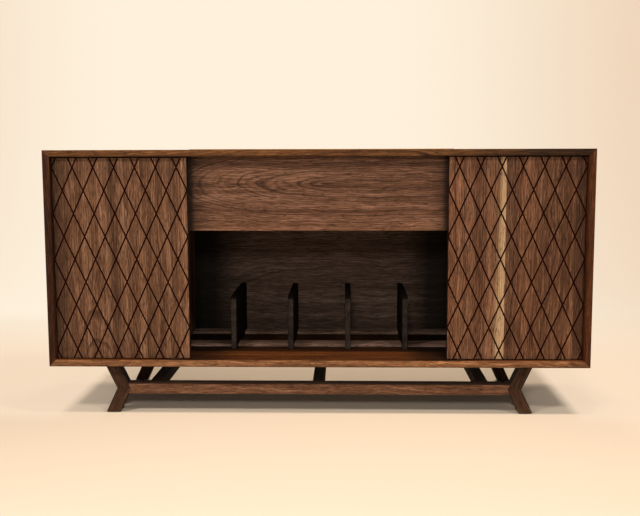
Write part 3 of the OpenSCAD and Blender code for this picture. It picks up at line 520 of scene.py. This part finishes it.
# The front edge of the bottom board is lighter than its face, and behind the first slat the face is darker.
# Towards the ends of the bay the face is painted darker, as the shade of the doors.
BOTTOM_BANDS = (
    ("X", ((-762, 1.85), (-600, 1.7), (-380, 1.62), (0, 1.5), (115, 1.75), (361, 2.2), (443, 2.1), (607, 2.1),
           (762, 2.0)), ("Y", -226, -228)),
    ("Y", ((-228.5, "#FFFDE8"), (-226, "#FFD38C"), (-106, "#FFD38C"), (-102, "#9C804C"),
           (228.5, "#9C804C")), None),
    # Painted shade of the doors towards the ends of the bay
    ("X", ((-470, 0.68), (-420, 0.3), (-363, 0.14), (-300, 0.25), (-220, 0.6), (230, 0.6), (300, 0.2),
           (363, 0.1), (420, 0.3), (470, 0.68)), ("Y", -228, -226)),
    # Painted shade on the lowest few mm of the front edge, under its eased arris
    ("Z", ((139, 0.45), (142, 0.6), (145, 0.92), (147, 1.0), (160, 1.0)), ("Y", -224, -227)),
)
# The sides are darker on their front edges, and inside as far back as the doors they are painted dark as
# shade beside the doors. The left front edge is lighter towards the top.
LEFT_SIDE_BANDS = (
    # Painted shade on the front edge and the inner face, as far back as the doors
    ("X", ((-762, 1.0), (-761.6, 1.0), (-761.2, "#8F7A6E"), (-743, "#8F7A6E")), ("Y", -150, -185)),
    ("Z", ((139, 1.0), (520, 1.0), (620, 1.5), (750, 1.5)), ("Y", -224, -227)),
)
RIGHT_SIDE_BANDS = (
    # Painted shade on the front edge and the inner face, as far back as the doors
    ("X", ((743, "#C8A67E"), (761.2, "#C8A67E"), (761.6, 1.0), (762, 1.0)), ("Y", -150, -185)),
)
dress("case_top", walnut("oiled_walnut_case_top", "xyz", pith=(200, -100, 680), drift=3.1, bow=0.1,
                         bands=TOP_BANDS))
dress("case_bottom", walnut("oiled_walnut_case_bottom", "xyz", pith=(-300, 50, 80), drift=7.7, bow=0.1,
                            bands=BOTTOM_BANDS))
dress("case_side_left", walnut("oiled_walnut_side_left", "zyx", pith=(400, -50, -680), drift=1.4, bow=0.1,
                               bands=LEFT_SIDE_BANDS))
dress("case_side_right", walnut("oiled_walnut_side_right", "zyx", pith=(400, 50, 680), drift=5.9, bow=0.1,
                                bands=RIGHT_SIDE_BANDS))


# Sliding doors
# Solid panels of edge-glued walnut staves with upright grain. Vee grooves are cut across the face against a
# slanted fence, and their walls are painted dark as shade in the grooves. One stave of the right door has
# pale sapwood.
groove_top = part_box("left_door")[0].y / MM + 0.1
# Across each door the staves differ in tone; the outermost stave is darker, partly as its own tone and partly
# as painted shade of the case side. Its edge towards the middle of the console is painted dark as the shade
# in the gap, and the right door is painted lighter in its lower part, as light from the lamp above.
LEFT_DOOR_BANDS = (
    ("X", ((-742, 0.38), (-722, 0.54), (-712, 0.74), (-690, 1.06), (-640, 1.04), (-609, 1.06), (-606, 1.35),
           (-600, 0.86), (-575, 0.82), (-545, 0.93), (-510, 1.08), (-440, 1.14), (-412, 1.0),
           (-362, 1.22)), None),
    # Painted shade in the gap beside the door's inner edge
    ("X", ((-364, 1.0), (-363.2, 1.0), (-363, 0.12), (-362, 0.12)), None),
)
RIGHT_DOOR_BANDS = (
    ("X", ((362, 1.26), (394, 1.12), (398, 0.9), (432, 0.8), (436, 0.93), (450, 0.82), (455, 0.7),
           (468, 0.72), (470, 1.12), (474, 0.87), (521, 1.0), (523, 0.54), (545, 0.6), (560, 0.9),
           (563, 1.18), (586, 1.22), (590, 1.05), (612, 1.05), (616, 0.8), (684, 0.8), (688, 1.0),
           (711, 1.02), (713, 0.47), (742, 0.47)), None),
    # Painted light: lighter in the lower part, as from the lamp above
    ("Z", ((160, 1.12), (340, 1.1), (420, 0.95), (600, 0.95), (728, 1.02)), None),
    # Painted shade in the gap beside the door's inner edge
    ("X", ((362, 0.12), (363, 0.12), (363.2, 1.0), (364, 1.0)), None),
)
dress("left_door", walnut("oiled_walnut_left_door", "zxy", pith=(500, -620, -100), drift=2.6, bow=0.25,
                          figure=0.8, wash="#FBFFFF", bands=LEFT_DOOR_BANDS, cut=groove_top))
dress("right_door", walnut("oiled_walnut_right_door", "zxy", pith=(450, 700, -80), drift=9.2, bow=0.2,
                           figure=0.6, sap=(477, 489, 521.5), wash="#FFFBF7", bands=RIGHT_DOOR_BANDS,
                           cut=groove_top))


# Door glides
# Short blocks of moulded nylon, let into the tongue that runs in the lower track, two to a door. They carry
# the door. Nylon is off-white, waxy and dull, with the fine even texture of its mould.
NYLON = "#DDD7C8"
NYLON_ROUGHNESS = 0.42
NYLON_IOR = 1.53
# In mm. Real mould texture is 0.05 mm wide and is drawn coarser, to show.
MOULD_TEXTURE = 2 / 3
FLOW_MARKS = 25


def moulded(name, colour, roughness, ior, depth):
    """A moulded plastic, with faint marks where it flowed and the texture of the mould, depth mm deep."""
    material = new_material(name)
    tree = material.node_tree
    spot = add(tree, "ShaderNodeTexCoord", out="Object")
    grit = add(tree, "ShaderNodeTexNoise", {"Vector": spot, "Scale": 1 / (MOULD_TEXTURE * MM), "Detail": 2.0})
    flow = add(tree, "ShaderNodeTexNoise", {"Vector": spot, "Scale": 1 / (FLOW_MARKS * MM), "Detail": 2.0})
    tint = add(tree, "ShaderNodeMapRange", {"Value": flow, "To Min": 0.88, "To Max": 1.12})
    tint = add(tree, "ShaderNodeVectorMath", {0: linear(colour)[:3], "Scale": tint}, operation="SCALE")
    bump = add(tree, "ShaderNodeBump", {"Height": grit, "Distance": depth * MM, "Strength": 0.5})
    rough = add(tree, "ShaderNodeMapRange",
                {"Value": grit, "To Min": roughness - 0.08, "To Max": roughness + 0.08})
    return finish_material(material, add(tree, "ShaderNodeBsdfPrincipled", {
        "Base Color": tint, "Roughness": rough, "Normal": bump, "IOR": ior,
    }))


nylon = moulded("moulded_nylon_glides", NYLON, NYLON_ROUGHNESS, NYLON_IOR, depth=0.02)
dress("left_door_glides", nylon)
dress("right_door_glides", nylon)


# Centre panel
# One wide plain-sawn walnut board with level grain that shows a long arch and a knot. It is fixed between
# the partitions, in front of the record player's well. Its ends are painted dark as the shade of the doors,
# its top as the shade of the top board, and its foot is painted lighter, as light from the lamps.
PANEL_MARKS = (9.3, 18.2, 33.7, 46.3)
PANEL_KNOT = (270, 664, 60, -13)
# Painted shade of the doors at the ends and of the top board along the top; painted light along the foot
PANEL_BANDS = (
    ("X", ((-414, 0.2), (-372, 0.2), (-366, 0.1), (-357, 0.11), (-354, 0.17), (-351, 0.3), (-345, 0.42),
           (-320, 0.76), (-290, 1.0), (315, 1.0), (342, 0.66), (349, 0.53), (352, 0.4), (355, 0.27),
           (358, 0.18), (366, 0.1), (372, 0.25), (414, 0.25)), None),
    ("Z", ((522, 1.2), (545, 1.06), (600, 1.0), (695, 1.0), (728, 0.84)), None),
)
dress("centre_panel", walnut("oiled_walnut_centre_panel", "xzy", pith=(164, 652, -185.5), drift=4.3,
                             bow=-0.28, figure=0.22, marks=PANEL_MARKS, knot=PANEL_KNOT, tone=1.18,
                             wash="#F4F7FF", bands=PANEL_BANDS))


# Record rack
# Two walnut slats screwed to the floor of the case, and four notched dividers that straddle them. The slats
# are only oiled. The dividers are stained dark and have no shine; behind their front edges they are painted
# nearly black, as deep shade.
DIVIDER_STAIN = "#7693B0"
# Painted deep shade on the dividers' faces behind their front edges
DIVIDER_BANDS = (("Y", ((-80, 1.0), (-78, 0.12), (220, 0.12)), None),)
dress("rack_slat_front", walnut("oiled_walnut_slat_front", "xyz", pith=(100, -200, 120), drift=6.6, tone=2.3,
                                wash="#C9E0FF"))
dress("rack_slat_rear", walnut("oiled_walnut_slat_rear", "xyz", pith=(-200, 200, 120), drift=8.8, tone=3.3,
                               wash="#BEDCFF"))
for i in range(1, 5):
    dress(f"record_divider_{i}", walnut(f"stained_walnut_divider_{i}", "yzx", pith=(100, 200, -400),
                                        drift=1.9 * i, tone=1.8, wash=DIVIDER_STAIN, bands=DIVIDER_BANDS,
                                        gloss=DULL_SHINE))


# Partitions, shelves and back
# Inner boards of the same walnut. The back is a 9 mm panel with level grain, stained dark and screwed into
# its rebate. A small block in the middle of each track stops the doors where they meet.
BACK_STAIN = "#A2B8D2"
# Inside the bay, the back is painted darker towards its ends, as the shade of the doors and partitions
BACK_BANDS = (
    ("X", ((-762, 1.0), (-440, 1.0), (-415, 0.05), (-350, 0.09), (-290, 0.65), (-240, 1.0), (270, 1.0),
           (345, 0.18), (415, 0.08), (440, 1.0), (762, 1.0)), ("Y", 222, 220)),
)
dress("partition_left", walnut("oiled_walnut_partition_left", "zyx", pith=(400, 0, -350), drift=12.2,
                               tone=0.8))
dress("partition_right", walnut("oiled_walnut_partition_right", "zyx", pith=(400, 0, 350), drift=13.4,
                                tone=0.8))
dress("record_player_shelf", walnut("oiled_walnut_player_shelf", "xyz", pith=(0, 0, 450), drift=14.1,
                                    tone=0.8))
dress("side_shelf_left", walnut("oiled_walnut_shelf_left", "xyz", pith=(-600, 0, 360), drift=15.8))
dress("side_shelf_right", walnut("oiled_walnut_shelf_right", "xyz", pith=(600, 0, 360), drift=16.3))
dress("back_panel", walnut("stained_walnut_back_panel", "xzy", pith=(200, 300, 100), drift=17.5, bow=0.1,
                           figure=0.3, tone=2.15, wash=BACK_STAIN, bands=BACK_BANDS))
dress("track_stops", walnut("oiled_walnut_track_stops", "xyz", pith=(0, 0, 400), drift=18.0))


# Mitre splines
# Strips of birch plywood glued into both faces of each mitre. They stop short of the front and the back, so
# they show only while the case is apart: pale and darker layers in turn, with a fine grain.
BIRCH = "#C9A87C"
BIRCH_DARK = "#8F6A45"
# In mm. Real birch fibres are 0.1 mm wide and are drawn coarser.
PLY_LAYER = 1.2
BIRCH_FIBRE = 2.5
# Half of a wave of the wave texture at scale 1, in metres
HALF_WAVE = 0.314

plywood = new_material("birch_plywood_splines")
tree = plywood.node_tree
spot = add(tree, "ShaderNodeTexCoord", out="Object")
layers = add(tree, "ShaderNodeTexWave",
             {"Vector": spot, "Scale": HALF_WAVE / (PLY_LAYER * MM), "Distortion": 0.6, "Detail": 2.0},
             bands_direction="DIAGONAL")
grain = add(tree, "ShaderNodeTexNoise", {"Vector": spot, "Scale": 1 / (BIRCH_FIBRE * MM), "Detail": 3.0})
layers = add(tree, "ShaderNodeMath", {0: grain, 1: 0.5, 2: layers}, operation="MULTIPLY_ADD")
layers = add(tree, "ShaderNodeValToRGB", {0: layers}, stops=[(0.4, BIRCH), (1.0, BIRCH_DARK)])
bump = add(tree, "ShaderNodeBump", {"Height": grain, "Distance": 0.1 * MM, "Strength": 0.4})
finish_material(plywood, add(tree, "ShaderNodeBsdfPrincipled", {
    "Base Color": layers, "Roughness": 0.7, "Normal": bump, "IOR": WOOD_IOR,
}))
dress("mitre_splines", plywood)


# Back and floor screws
# Zinc-plated steel wood screws with a countersunk head and a cross recess, driven flush. They hold the back
# in its rebate, and the partitions and slats on the floor. Each was left turned a little differently.
ZINC = "#C2C4C1"
# Marks and tarnish, in mm. Real marks are 0.05 mm wide and are drawn coarser, to show.
GRIT = (5 / 6, 5 / 6, 5 / 6)
TARNISH = 100 / 9
SCREW_SIZE = (8, 4)
# The recess: reach and half width of its arms at the mouth and at the floor, and its depth, per head width
RECESS_MOUTH = (0.27, 0.07)
RECESS_FLOOR = (0.12, 0.05)
RECESS_DEPTH = 0.28
RECESS_TURN = math.pi / 2
HEAD_EASE = 0.15
HEAD_SEGMENTS = 32
# Width above the point and at the tip, per shank width
SHANK_TAPER = 0.92
SCREW_TIP = 0.12
turns = random.Random(7)


def metal(name, colour, roughness, marks, depth):
    """A metal with soft tarnish, and with fine marks of a size along each axis and a depth in mm."""
    material = new_material(name)
    tree = material.node_tree
    spot = add(tree, "ShaderNodeTexCoord", out="Object")
    fine = add(tree, "ShaderNodeVectorMath", {0: spot, 1: repeats(marks)}, operation="MULTIPLY")
    fine = add(tree, "ShaderNodeTexNoise", {"Vector": fine, "Scale": 1.0, "Detail": 4.0})
    dull = add(tree, "ShaderNodeTexNoise", {"Vector": spot, "Scale": 1 / (TARNISH * MM), "Detail": 3.0})
    dull = add(tree, "ShaderNodeMapRange", {"Value": dull, "To Min": 0.72, "To Max": 1.2})
    dull = add(tree, "ShaderNodeVectorMath", {0: linear(colour)[:3], "Scale": dull}, operation="SCALE")
    rough = add(tree, "ShaderNodeMapRange",
                {"Value": fine, "To Min": roughness - 0.1, "To Max": roughness + 0.12})
    bump = add(tree, "ShaderNodeBump", {"Height": fine, "Distance": depth * MM, "Strength": 0.5})
    return finish_material(material, add(tree, "ShaderNodeBsdfPrincipled", {
        "Base Color": dull, "Metallic": 1.0, "Roughness": rough, "Normal": bump,
    }))


def islands(node):
    """The (low, high) corners of each separate solid of a CAD node."""
    work = bmesh.new()
    work.from_mesh(nodes[node].data)
    bmesh.ops.remove_doubles(work, verts=work.verts, dist=1e-6)
    left = set(work.verts)
    found = []
    while left:
        stack = [left.pop()]
        group = []
        while stack:
            vert = stack.pop()
            group.append(vert.co.copy())
            for edge in vert.link_edges:
                other = edge.other_vert(vert)
                if other in left:
                    left.remove(other)
                    stack.append(other)
        found.append([Vector(pick(co[k] for co in group) for k in range(3)) for pick in (min, max)])
    work.free()
    return sorted(found, key=lambda box: tuple(round(c, 5) for c in box[0]))


def screw(work, place, point, length, head, shank):
    """Adds a screw to a bmesh. place is the middle of its head, point the way it goes in, and the sizes are
    in metres. Inside it, depth is how far a loop lies below the head."""
    u = point.orthogonal().normalized()
    v = point.cross(u)
    twist = turns.uniform(0, RECESS_TURN)

    def ring(radius, depth):
        return [work.verts.new(place + point * depth + (u * math.cos(a) + v * math.sin(a)) * radius)
                for a in (i / HEAD_SEGMENTS * math.tau for i in range(HEAD_SEGMENTS))]

    def cross(reach, width, depth):
        corners = []
        for k in range(4):
            a = twist + k * math.pi / 2
            arm = u * math.cos(a) + v * math.sin(a)
            flank = v * math.cos(a) - u * math.sin(a)
            corners += [arm * reach - flank * width, arm * reach + flank * width,
                        arm * width + flank * width]
        return [work.verts.new(place + point * depth + corner) for corner in corners]

    def join(outer, inner):
        for i in range(len(outer)):
            j = (i + 1) % len(outer)
            work.faces.new((outer[i], outer[j], inner[j], inner[i]))

    rim = ring(head / 2 - HEAD_EASE * MM, 0)
    mouth = cross(*(head * part for part in RECESS_MOUTH), 0)
    floor = cross(*(head * part for part in RECESS_FLOOR), head * RECESS_DEPTH)
    edges = [work.edges.new((loop[i], loop[(i + 1) % len(loop)]))
             for loop in (rim, mouth) for i in range(len(loop))]
    bmesh.ops.triangle_fill(work, use_beauty=True, edges=edges)
    join(mouth, floor)
    work.faces.new(floor)
    rings = [rim, ring(head / 2, HEAD_EASE * MM), ring(shank / 2, (head - shank) / 2),
             ring(shank / 2 * SHANK_TAPER, length - shank), ring(shank / 2 * SCREW_TIP, length)]
    for outer, inner in zip(rings, rings[1:]):
        join(outer, inner)
    work.faces.new(rings[-1])


def screws(name, node, into, size, material, body):
    """Real screws in place of a node's plain ones. into is the way that they point, such as -Y, and size is
    the width of head and shank in mm."""
    axis, way = "XYZ".index(into[1]), 1 if into[0] == "+" else -1
    point = Vector([way if k == axis else 0 for k in range(3)])
    head, shank = (width * MM for width in size)
    work = bmesh.new()
    for low, high in islands(node):
        place = (low + high) / 2
        place[axis] = (low if way > 0 else high)[axis]
        screw(work, place, point, (high - low)[axis], head, shank)
    bmesh.ops.recalc_face_normals(work, faces=work.faces)
    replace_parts(mesh_object(name, work, material, body, smooth=False), node)


# Plated zinc is a cool light grey with soft reflections
zinc = metal("zinc_plated_steel_screws", ZINC, roughness=0.38, marks=GRIT, depth=0.01)
screws("back_panel_screws", "back_screws", "-Y", SCREW_SIZE, zinc, "console")
screws("floor_wood_screws", "floor_screws", "+Z", SCREW_SIZE, zinc, "console")


# Cable grommets
# Soft-edged rings moulded in black polypropylene, pressed into the holes of the back from outside. A rounded
# flange covers the edge of each hole. The plastic is black with a dull sheen and a fine texture.
POLYPROPYLENE = "#1B1B1C"
POLYPROPYLENE_ROUGHNESS = 0.48
POLYPROPYLENE_IOR = 1.49
GROMMET_BORE = next(m for m in frame["record"]["mounts"] if m["name"] == "cable_hole_well")["dims"]["r_mm"]
GROMMET_SLEEVE = GROMMET_BORE + 2.6
GROMMET_FLANGE = 2
TURNED_SEGMENTS = 64


def turned(work, middle, axis, profile):
    """Adds a ring or a disc to a bmesh, round an axis through a middle. profile is (radius, place along the
    axis) in mm, round the section of a ring, or from one end of a disc to the other."""
    u, v, w = (Vector([1 if k == (axis + step) % 3 else 0 for k in range(3)]) for step in (1, 2, 0))
    centre = middle.copy()
    centre[axis] = 0
    loops = []
    for radius, place in profile:
        on_axis = centre + w * (place * MM)
        if radius == 0:
            loops.append([work.verts.new(on_axis)] * TURNED_SEGMENTS)
        else:
            loops.append([work.verts.new(on_axis + (u * math.cos(a) + v * math.sin(a)) * (radius * MM))
                          for a in (i / TURNED_SEGMENTS * math.tau for i in range(TURNED_SEGMENTS))])
    is_ring = profile[0][0] > 0
    for first, second in zip(loops, loops[1:] + (loops[:1] if is_ring else [])):
        for i in range(TURNED_SEGMENTS):
            j = (i + 1) % TURNED_SEGMENTS
            work.faces.new(list(dict.fromkeys((first[i], first[j], second[j], second[i]))))


black_plastic = moulded("moulded_black_polypropylene", POLYPROPYLENE, POLYPROPYLENE_ROUGHNESS,
                        POLYPROPYLENE_IOR, depth=0.03)
work = bmesh.new()
for low, high in islands("cable_grommets"):
    flange = (high.x - low.x) / 2 / MM
    inner, outer = low.y / MM, high.y / MM
    shoulder = outer - GROMMET_FLANGE
    turned(work, (low + high) / 2, 1, [
        (GROMMET_BORE + 0.8, inner), (GROMMET_BORE + 0.2, inner + 0.6), (GROMMET_BORE, inner + 1.6),
        (GROMMET_BORE, outer - 2.4), (GROMMET_BORE + 0.5, outer - 0.9), (GROMMET_BORE + 1.6, outer - 0.1),
        (GROMMET_BORE + 2.6, outer), (flange - 1.8, outer - 0.15), (flange - 0.6, outer - 0.7),
        (flange, outer - 1.5), (flange, shoulder), (GROMMET_SLEEVE, shoulder), (GROMMET_SLEEVE, inner + 0.5),
        (GROMMET_SLEEVE - 0.5, inner),
    ])
bmesh.ops.recalc_face_normals(work, faces=work.faces)
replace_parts(mesh_object("moulded_grommets", work, black_plastic, "console"),
            "cable_grommets")


# Lid
# A board cut from the same plank as the top, so that its grain runs on. It swings on a continuous hinge of
# drawn brass leaves on a drawn steel pin, which runs the whole length, with small brass screws in each leaf.
BRASS = "#6F5A36"
STEEL = "#A9AAA8"
# Drawing leaves long lines along the hinge. In mm: real ones are a tenth as wide, too fine to show.
DRAWN_LINES = (200 / 3, 5 / 7, 5 / 7)
HINGE_SCREW_SIZE = (4.4, 2.4)

dress("lid", walnut("oiled_walnut_lid", "xyz", pith=(200, -100, 680), drift=3.1, bow=0.1))
# The leaves have aged to a dull brown gold, and only the turned screws are still bright
brass = metal("aged_brass_hinge", BRASS, roughness=0.5, marks=DRAWN_LINES, depth=0.01)
for name in ("lid_hinge_lid_leaf", "lid_hinge_case_leaf"):
    dress(name, brass)
dress("lid_hinge_pin", metal("drawn_steel_pin", STEEL, roughness=0.3, marks=DRAWN_LINES, depth=0.01))
brass_screw = metal("turned_brass_screws", BRASS, roughness=0.26, marks=GRIT, depth=0.005)
screws("lid_hinge_wood_screws", "lid_leaf_screws", "-Y", HINGE_SCREW_SIZE, brass_screw, "lid")
screws("case_hinge_wood_screws", "case_leaf_screws", "+Y", HINGE_SCREW_SIZE, brass_screw, "console")


# Felt pads
# Discs of pressed wool felt, let into the partitions under the lid and glued inside the case where the doors
# come to rest. Their cut edges are a little rounded. Felt is dull and hairy, darker and lighter in clumps.
FELT = "#4B4038"
FELT_IOR = 1.45
# In mm. Real hairs are 0.02 mm wide and are drawn coarser, to show.
FELT_HAIR = 0.625
FELT_CLUMP = 4
FELT_EASE = 0.6

felt = new_material("pressed_wool_felt")
tree = felt.node_tree
spot = add(tree, "ShaderNodeTexCoord", out="Object")
hairs = add(tree, "ShaderNodeTexNoise",
            {"Vector": spot, "Scale": 1 / (FELT_HAIR * MM), "Detail": 3.0, "Distortion": 2.0})
clumps = add(tree, "ShaderNodeTexNoise", {"Vector": spot, "Scale": 1 / (FELT_CLUMP * MM), "Detail": 2.0})
mottle = add(tree, "ShaderNodeMath", {0: hairs, 1: clumps}, operation="ADD")
mottle = add(tree, "ShaderNodeMapRange",
             {"Value": mottle, "From Min": 0.7, "From Max": 1.3, "To Min": 0.6, "To Max": 1.4})
tint = add(tree, "ShaderNodeVectorMath", {0: linear(FELT)[:3], "Scale": mottle}, operation="SCALE")
bump = add(tree, "ShaderNodeBump", {"Height": mottle, "Distance": 0.25 * MM, "Strength": 0.9})
finish_material(felt, add(tree, "ShaderNodeBsdfPrincipled", {
    "Base Color": tint, "Roughness": 0.95, "Normal": bump, "IOR": FELT_IOR, "Sheen Weight": 0.4,
    "Sheen Roughness": 0.5,
}))
for name, node, axis in (("lid_felt_discs", "lid_felt_pads", 2), ("door_felt_discs", "door_felt_pads", 0)):
    work = bmesh.new()
    for low, high in islands(node):
        radius = (high - low)[(axis + 1) % 3] / 2 / MM
        a, b = low[axis] / MM, high[axis] / MM
        ease = min(FELT_EASE, (b - a) / 3)
        turned(work, (low + high) / 2, axis, [
            (0, a), (radius * 0.6, a), (radius - ease, a + 0.1 * ease), (radius - 0.3 * ease, a + 0.3 * ease),
            (radius, a + ease), (radius, b - ease), (radius - 0.3 * ease, b - 0.3 * ease),
            (radius - ease, b - 0.1 * ease), (radius * 0.6, b), (0, b),
        ])
    bmesh.ops.recalc_face_normals(work, faces=work.faces)
    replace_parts(mesh_object(name, work, felt, "console"), node)


# Shelf pins
# Steel pegs with rounded ends, pushed into bored holes of the sides and the partitions. The nickel plate is
# bright and a little warm, with fine marks along each pin.
NICKEL = "#B9B4A8"
PIN_MARKS = (10 / 3, 5 / 7, 5 / 7)
work = bmesh.new()
for low, high in islands("shelf_pins"):
    radius = (high.z - low.z) / 2 / MM
    a, b = low.x / MM, high.x / MM
    turned(work, (low + high) / 2, 0, [
        (0, a), (radius * 0.5, a + 0.05), (radius * 0.85, a + 0.3), (radius, a + 0.8),
        (radius, b - 0.8), (radius * 0.85, b - 0.3), (radius * 0.5, b - 0.05), (0, b),
    ])
bmesh.ops.recalc_face_normals(work, faces=work.faces)
nickel = metal("nickel_plated_pins", NICKEL, roughness=0.25, marks=PIN_MARKS, depth=0.005)
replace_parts(mesh_object("shelf_pegs", work, nickel, "console"), "shelf_pins")


# Base
# Two frames of thick walnut with Y-shaped ends, joined by three dowelled rails. The grain runs along each
# member, and its edges are eased by hand. Shade under the case is painted on: the arms, legs and rails are
# darker, partly as their own tone, and so are the stretchers' top edges and the arms' inner faces.
BASE_TONE_AND_SHADE = {"stretcher": 1.26, "arm": 0.37, "leg": 0.44, "rail": 0.3}
PAINTED_SHADE_TONE = 0.2

for i, name in enumerate(n for n in nodes if n.startswith("base_stretcher")):
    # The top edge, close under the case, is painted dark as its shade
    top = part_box(name)[1].z / MM
    rim = (("Z", ((0, 1.0), (top - 3.5, 1.0), (top - 1.5, PAINTED_SHADE_TONE), (top, PAINTED_SHADE_TONE)), None),)
    dress(name, walnut(f"oiled_walnut_{name}", "xzy", pith=(100, 0, -300), drift=20.0 + i,
                       tone=BASE_TONE_AND_SHADE["stretcher"], bands=rim))
for i, name in enumerate(n for n in nodes if n.startswith(("base_arm", "base_leg"))):
    spots = [vert.co for vert in nodes[name].data.vertices]
    low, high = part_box(name)
    tops = [co.x for co in spots if co.z > high.z - 2 * MM]
    feet = [co.x for co in spots if co.z < low.z + 2 * MM]
    lean = math.atan2(sum(tops) / len(tops) - sum(feet) / len(feet), high.z - low.z)
    # The face that looks to the middle of the console is painted dark as shade under the case
    sign = math.copysign(1, (low.x + high.x) / 2)
    front, back = low.y / MM, high.y / MM
    inner = (("Y", ((front, 1.0), (front + 0.6, 1.0), (front + 2, PAINTED_SHADE_TONE), (back - 2, PAINTED_SHADE_TONE),
                    (back - 0.6, 1.0), (back, 1.0)), ("X", sign * 600, sign * 590)),)
    dress(name, walnut(f"oiled_walnut_{name}", "zxy", pith=(100, 500, -300), drift=22.0 + i, lean=lean,
                       tone=BASE_TONE_AND_SHADE["arm" if "arm" in name else "leg"], bands=inner))
# The rails, under the case, are painted dark as its shade
for i, name in enumerate(n for n in nodes if n.startswith("base_rail")):
    dress(name, walnut(f"oiled_walnut_{name}", "yxz", pith=(100, 300, 0), drift=32.0 + i,
                       tone=BASE_TONE_AND_SHADE["rail"], gloss=DULL_SHINE))


# Base fittings
# Beech dowels join the rails to the frames. Plated steel bolts stand in the arms and screw into turned
# brass inserts in the bottom board. Rounded pads of black polypropylene keep the legs off the floor.
BEECH = "#C79F74"
BEECH_DARK = "#A87F57"
# In mm, longest along the dowel or the bolt. Real rays and marks are a tenth as wide, too fine to show.
BEECH_RAYS = (10 / 7, 50 / 3, 10 / 7)
BOLT_MARKS = (5 / 6, 5 / 6, 5)

# Raw beech is a pale warm brown with short darker flecks and no sheen
beech = new_material("raw_beech_dowels")
tree = beech.node_tree
spot = add(tree, "ShaderNodeTexCoord", out="Object")
rays = add(tree, "ShaderNodeVectorMath", {0: spot, 1: repeats(BEECH_RAYS)}, operation="MULTIPLY")
rays = add(tree, "ShaderNodeTexNoise", {"Vector": rays, "Scale": 1.0, "Detail": 2.0})
tint = add(tree, "ShaderNodeValToRGB", {0: rays}, stops=[(0.4, BEECH), (0.65, BEECH_DARK)])
bump = add(tree, "ShaderNodeBump", {"Height": rays, "Distance": 0.05 * MM, "Strength": 0.5})
finish_material(beech, add(tree, "ShaderNodeBsdfPrincipled", {
    "Base Color": tint, "Roughness": 0.6, "Normal": bump, "IOR": WOOD_IOR,
}))
dress("base_dowels", beech)
dress("base_bolts", metal("zinc_plated_bolts", ZINC, roughness=0.36, marks=BOLT_MARKS, depth=0.01))
dress("threaded_inserts", metal("turned_brass_inserts", BRASS, roughness=0.3, marks=BOLT_MARKS,
                                depth=0.01))
work = bmesh.new()
for low, high in islands("foot_pads"):
    radius = (high.x - low.x) / 2 / MM
    a, b = low.z / MM, high.z / MM
    turned(work, (low + high) / 2, 2, [
        (0, a), (radius * 0.8, a), (radius * 0.93, a + 0.25), (radius, a + 1.0),
        (radius, b - 0.3), (radius - 0.3, b), (0, b),
    ])
bmesh.ops.recalc_face_normals(work, faces=work.faces)
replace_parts(mesh_object("moulded_feet", work, black_plastic, "console"), "foot_pads")
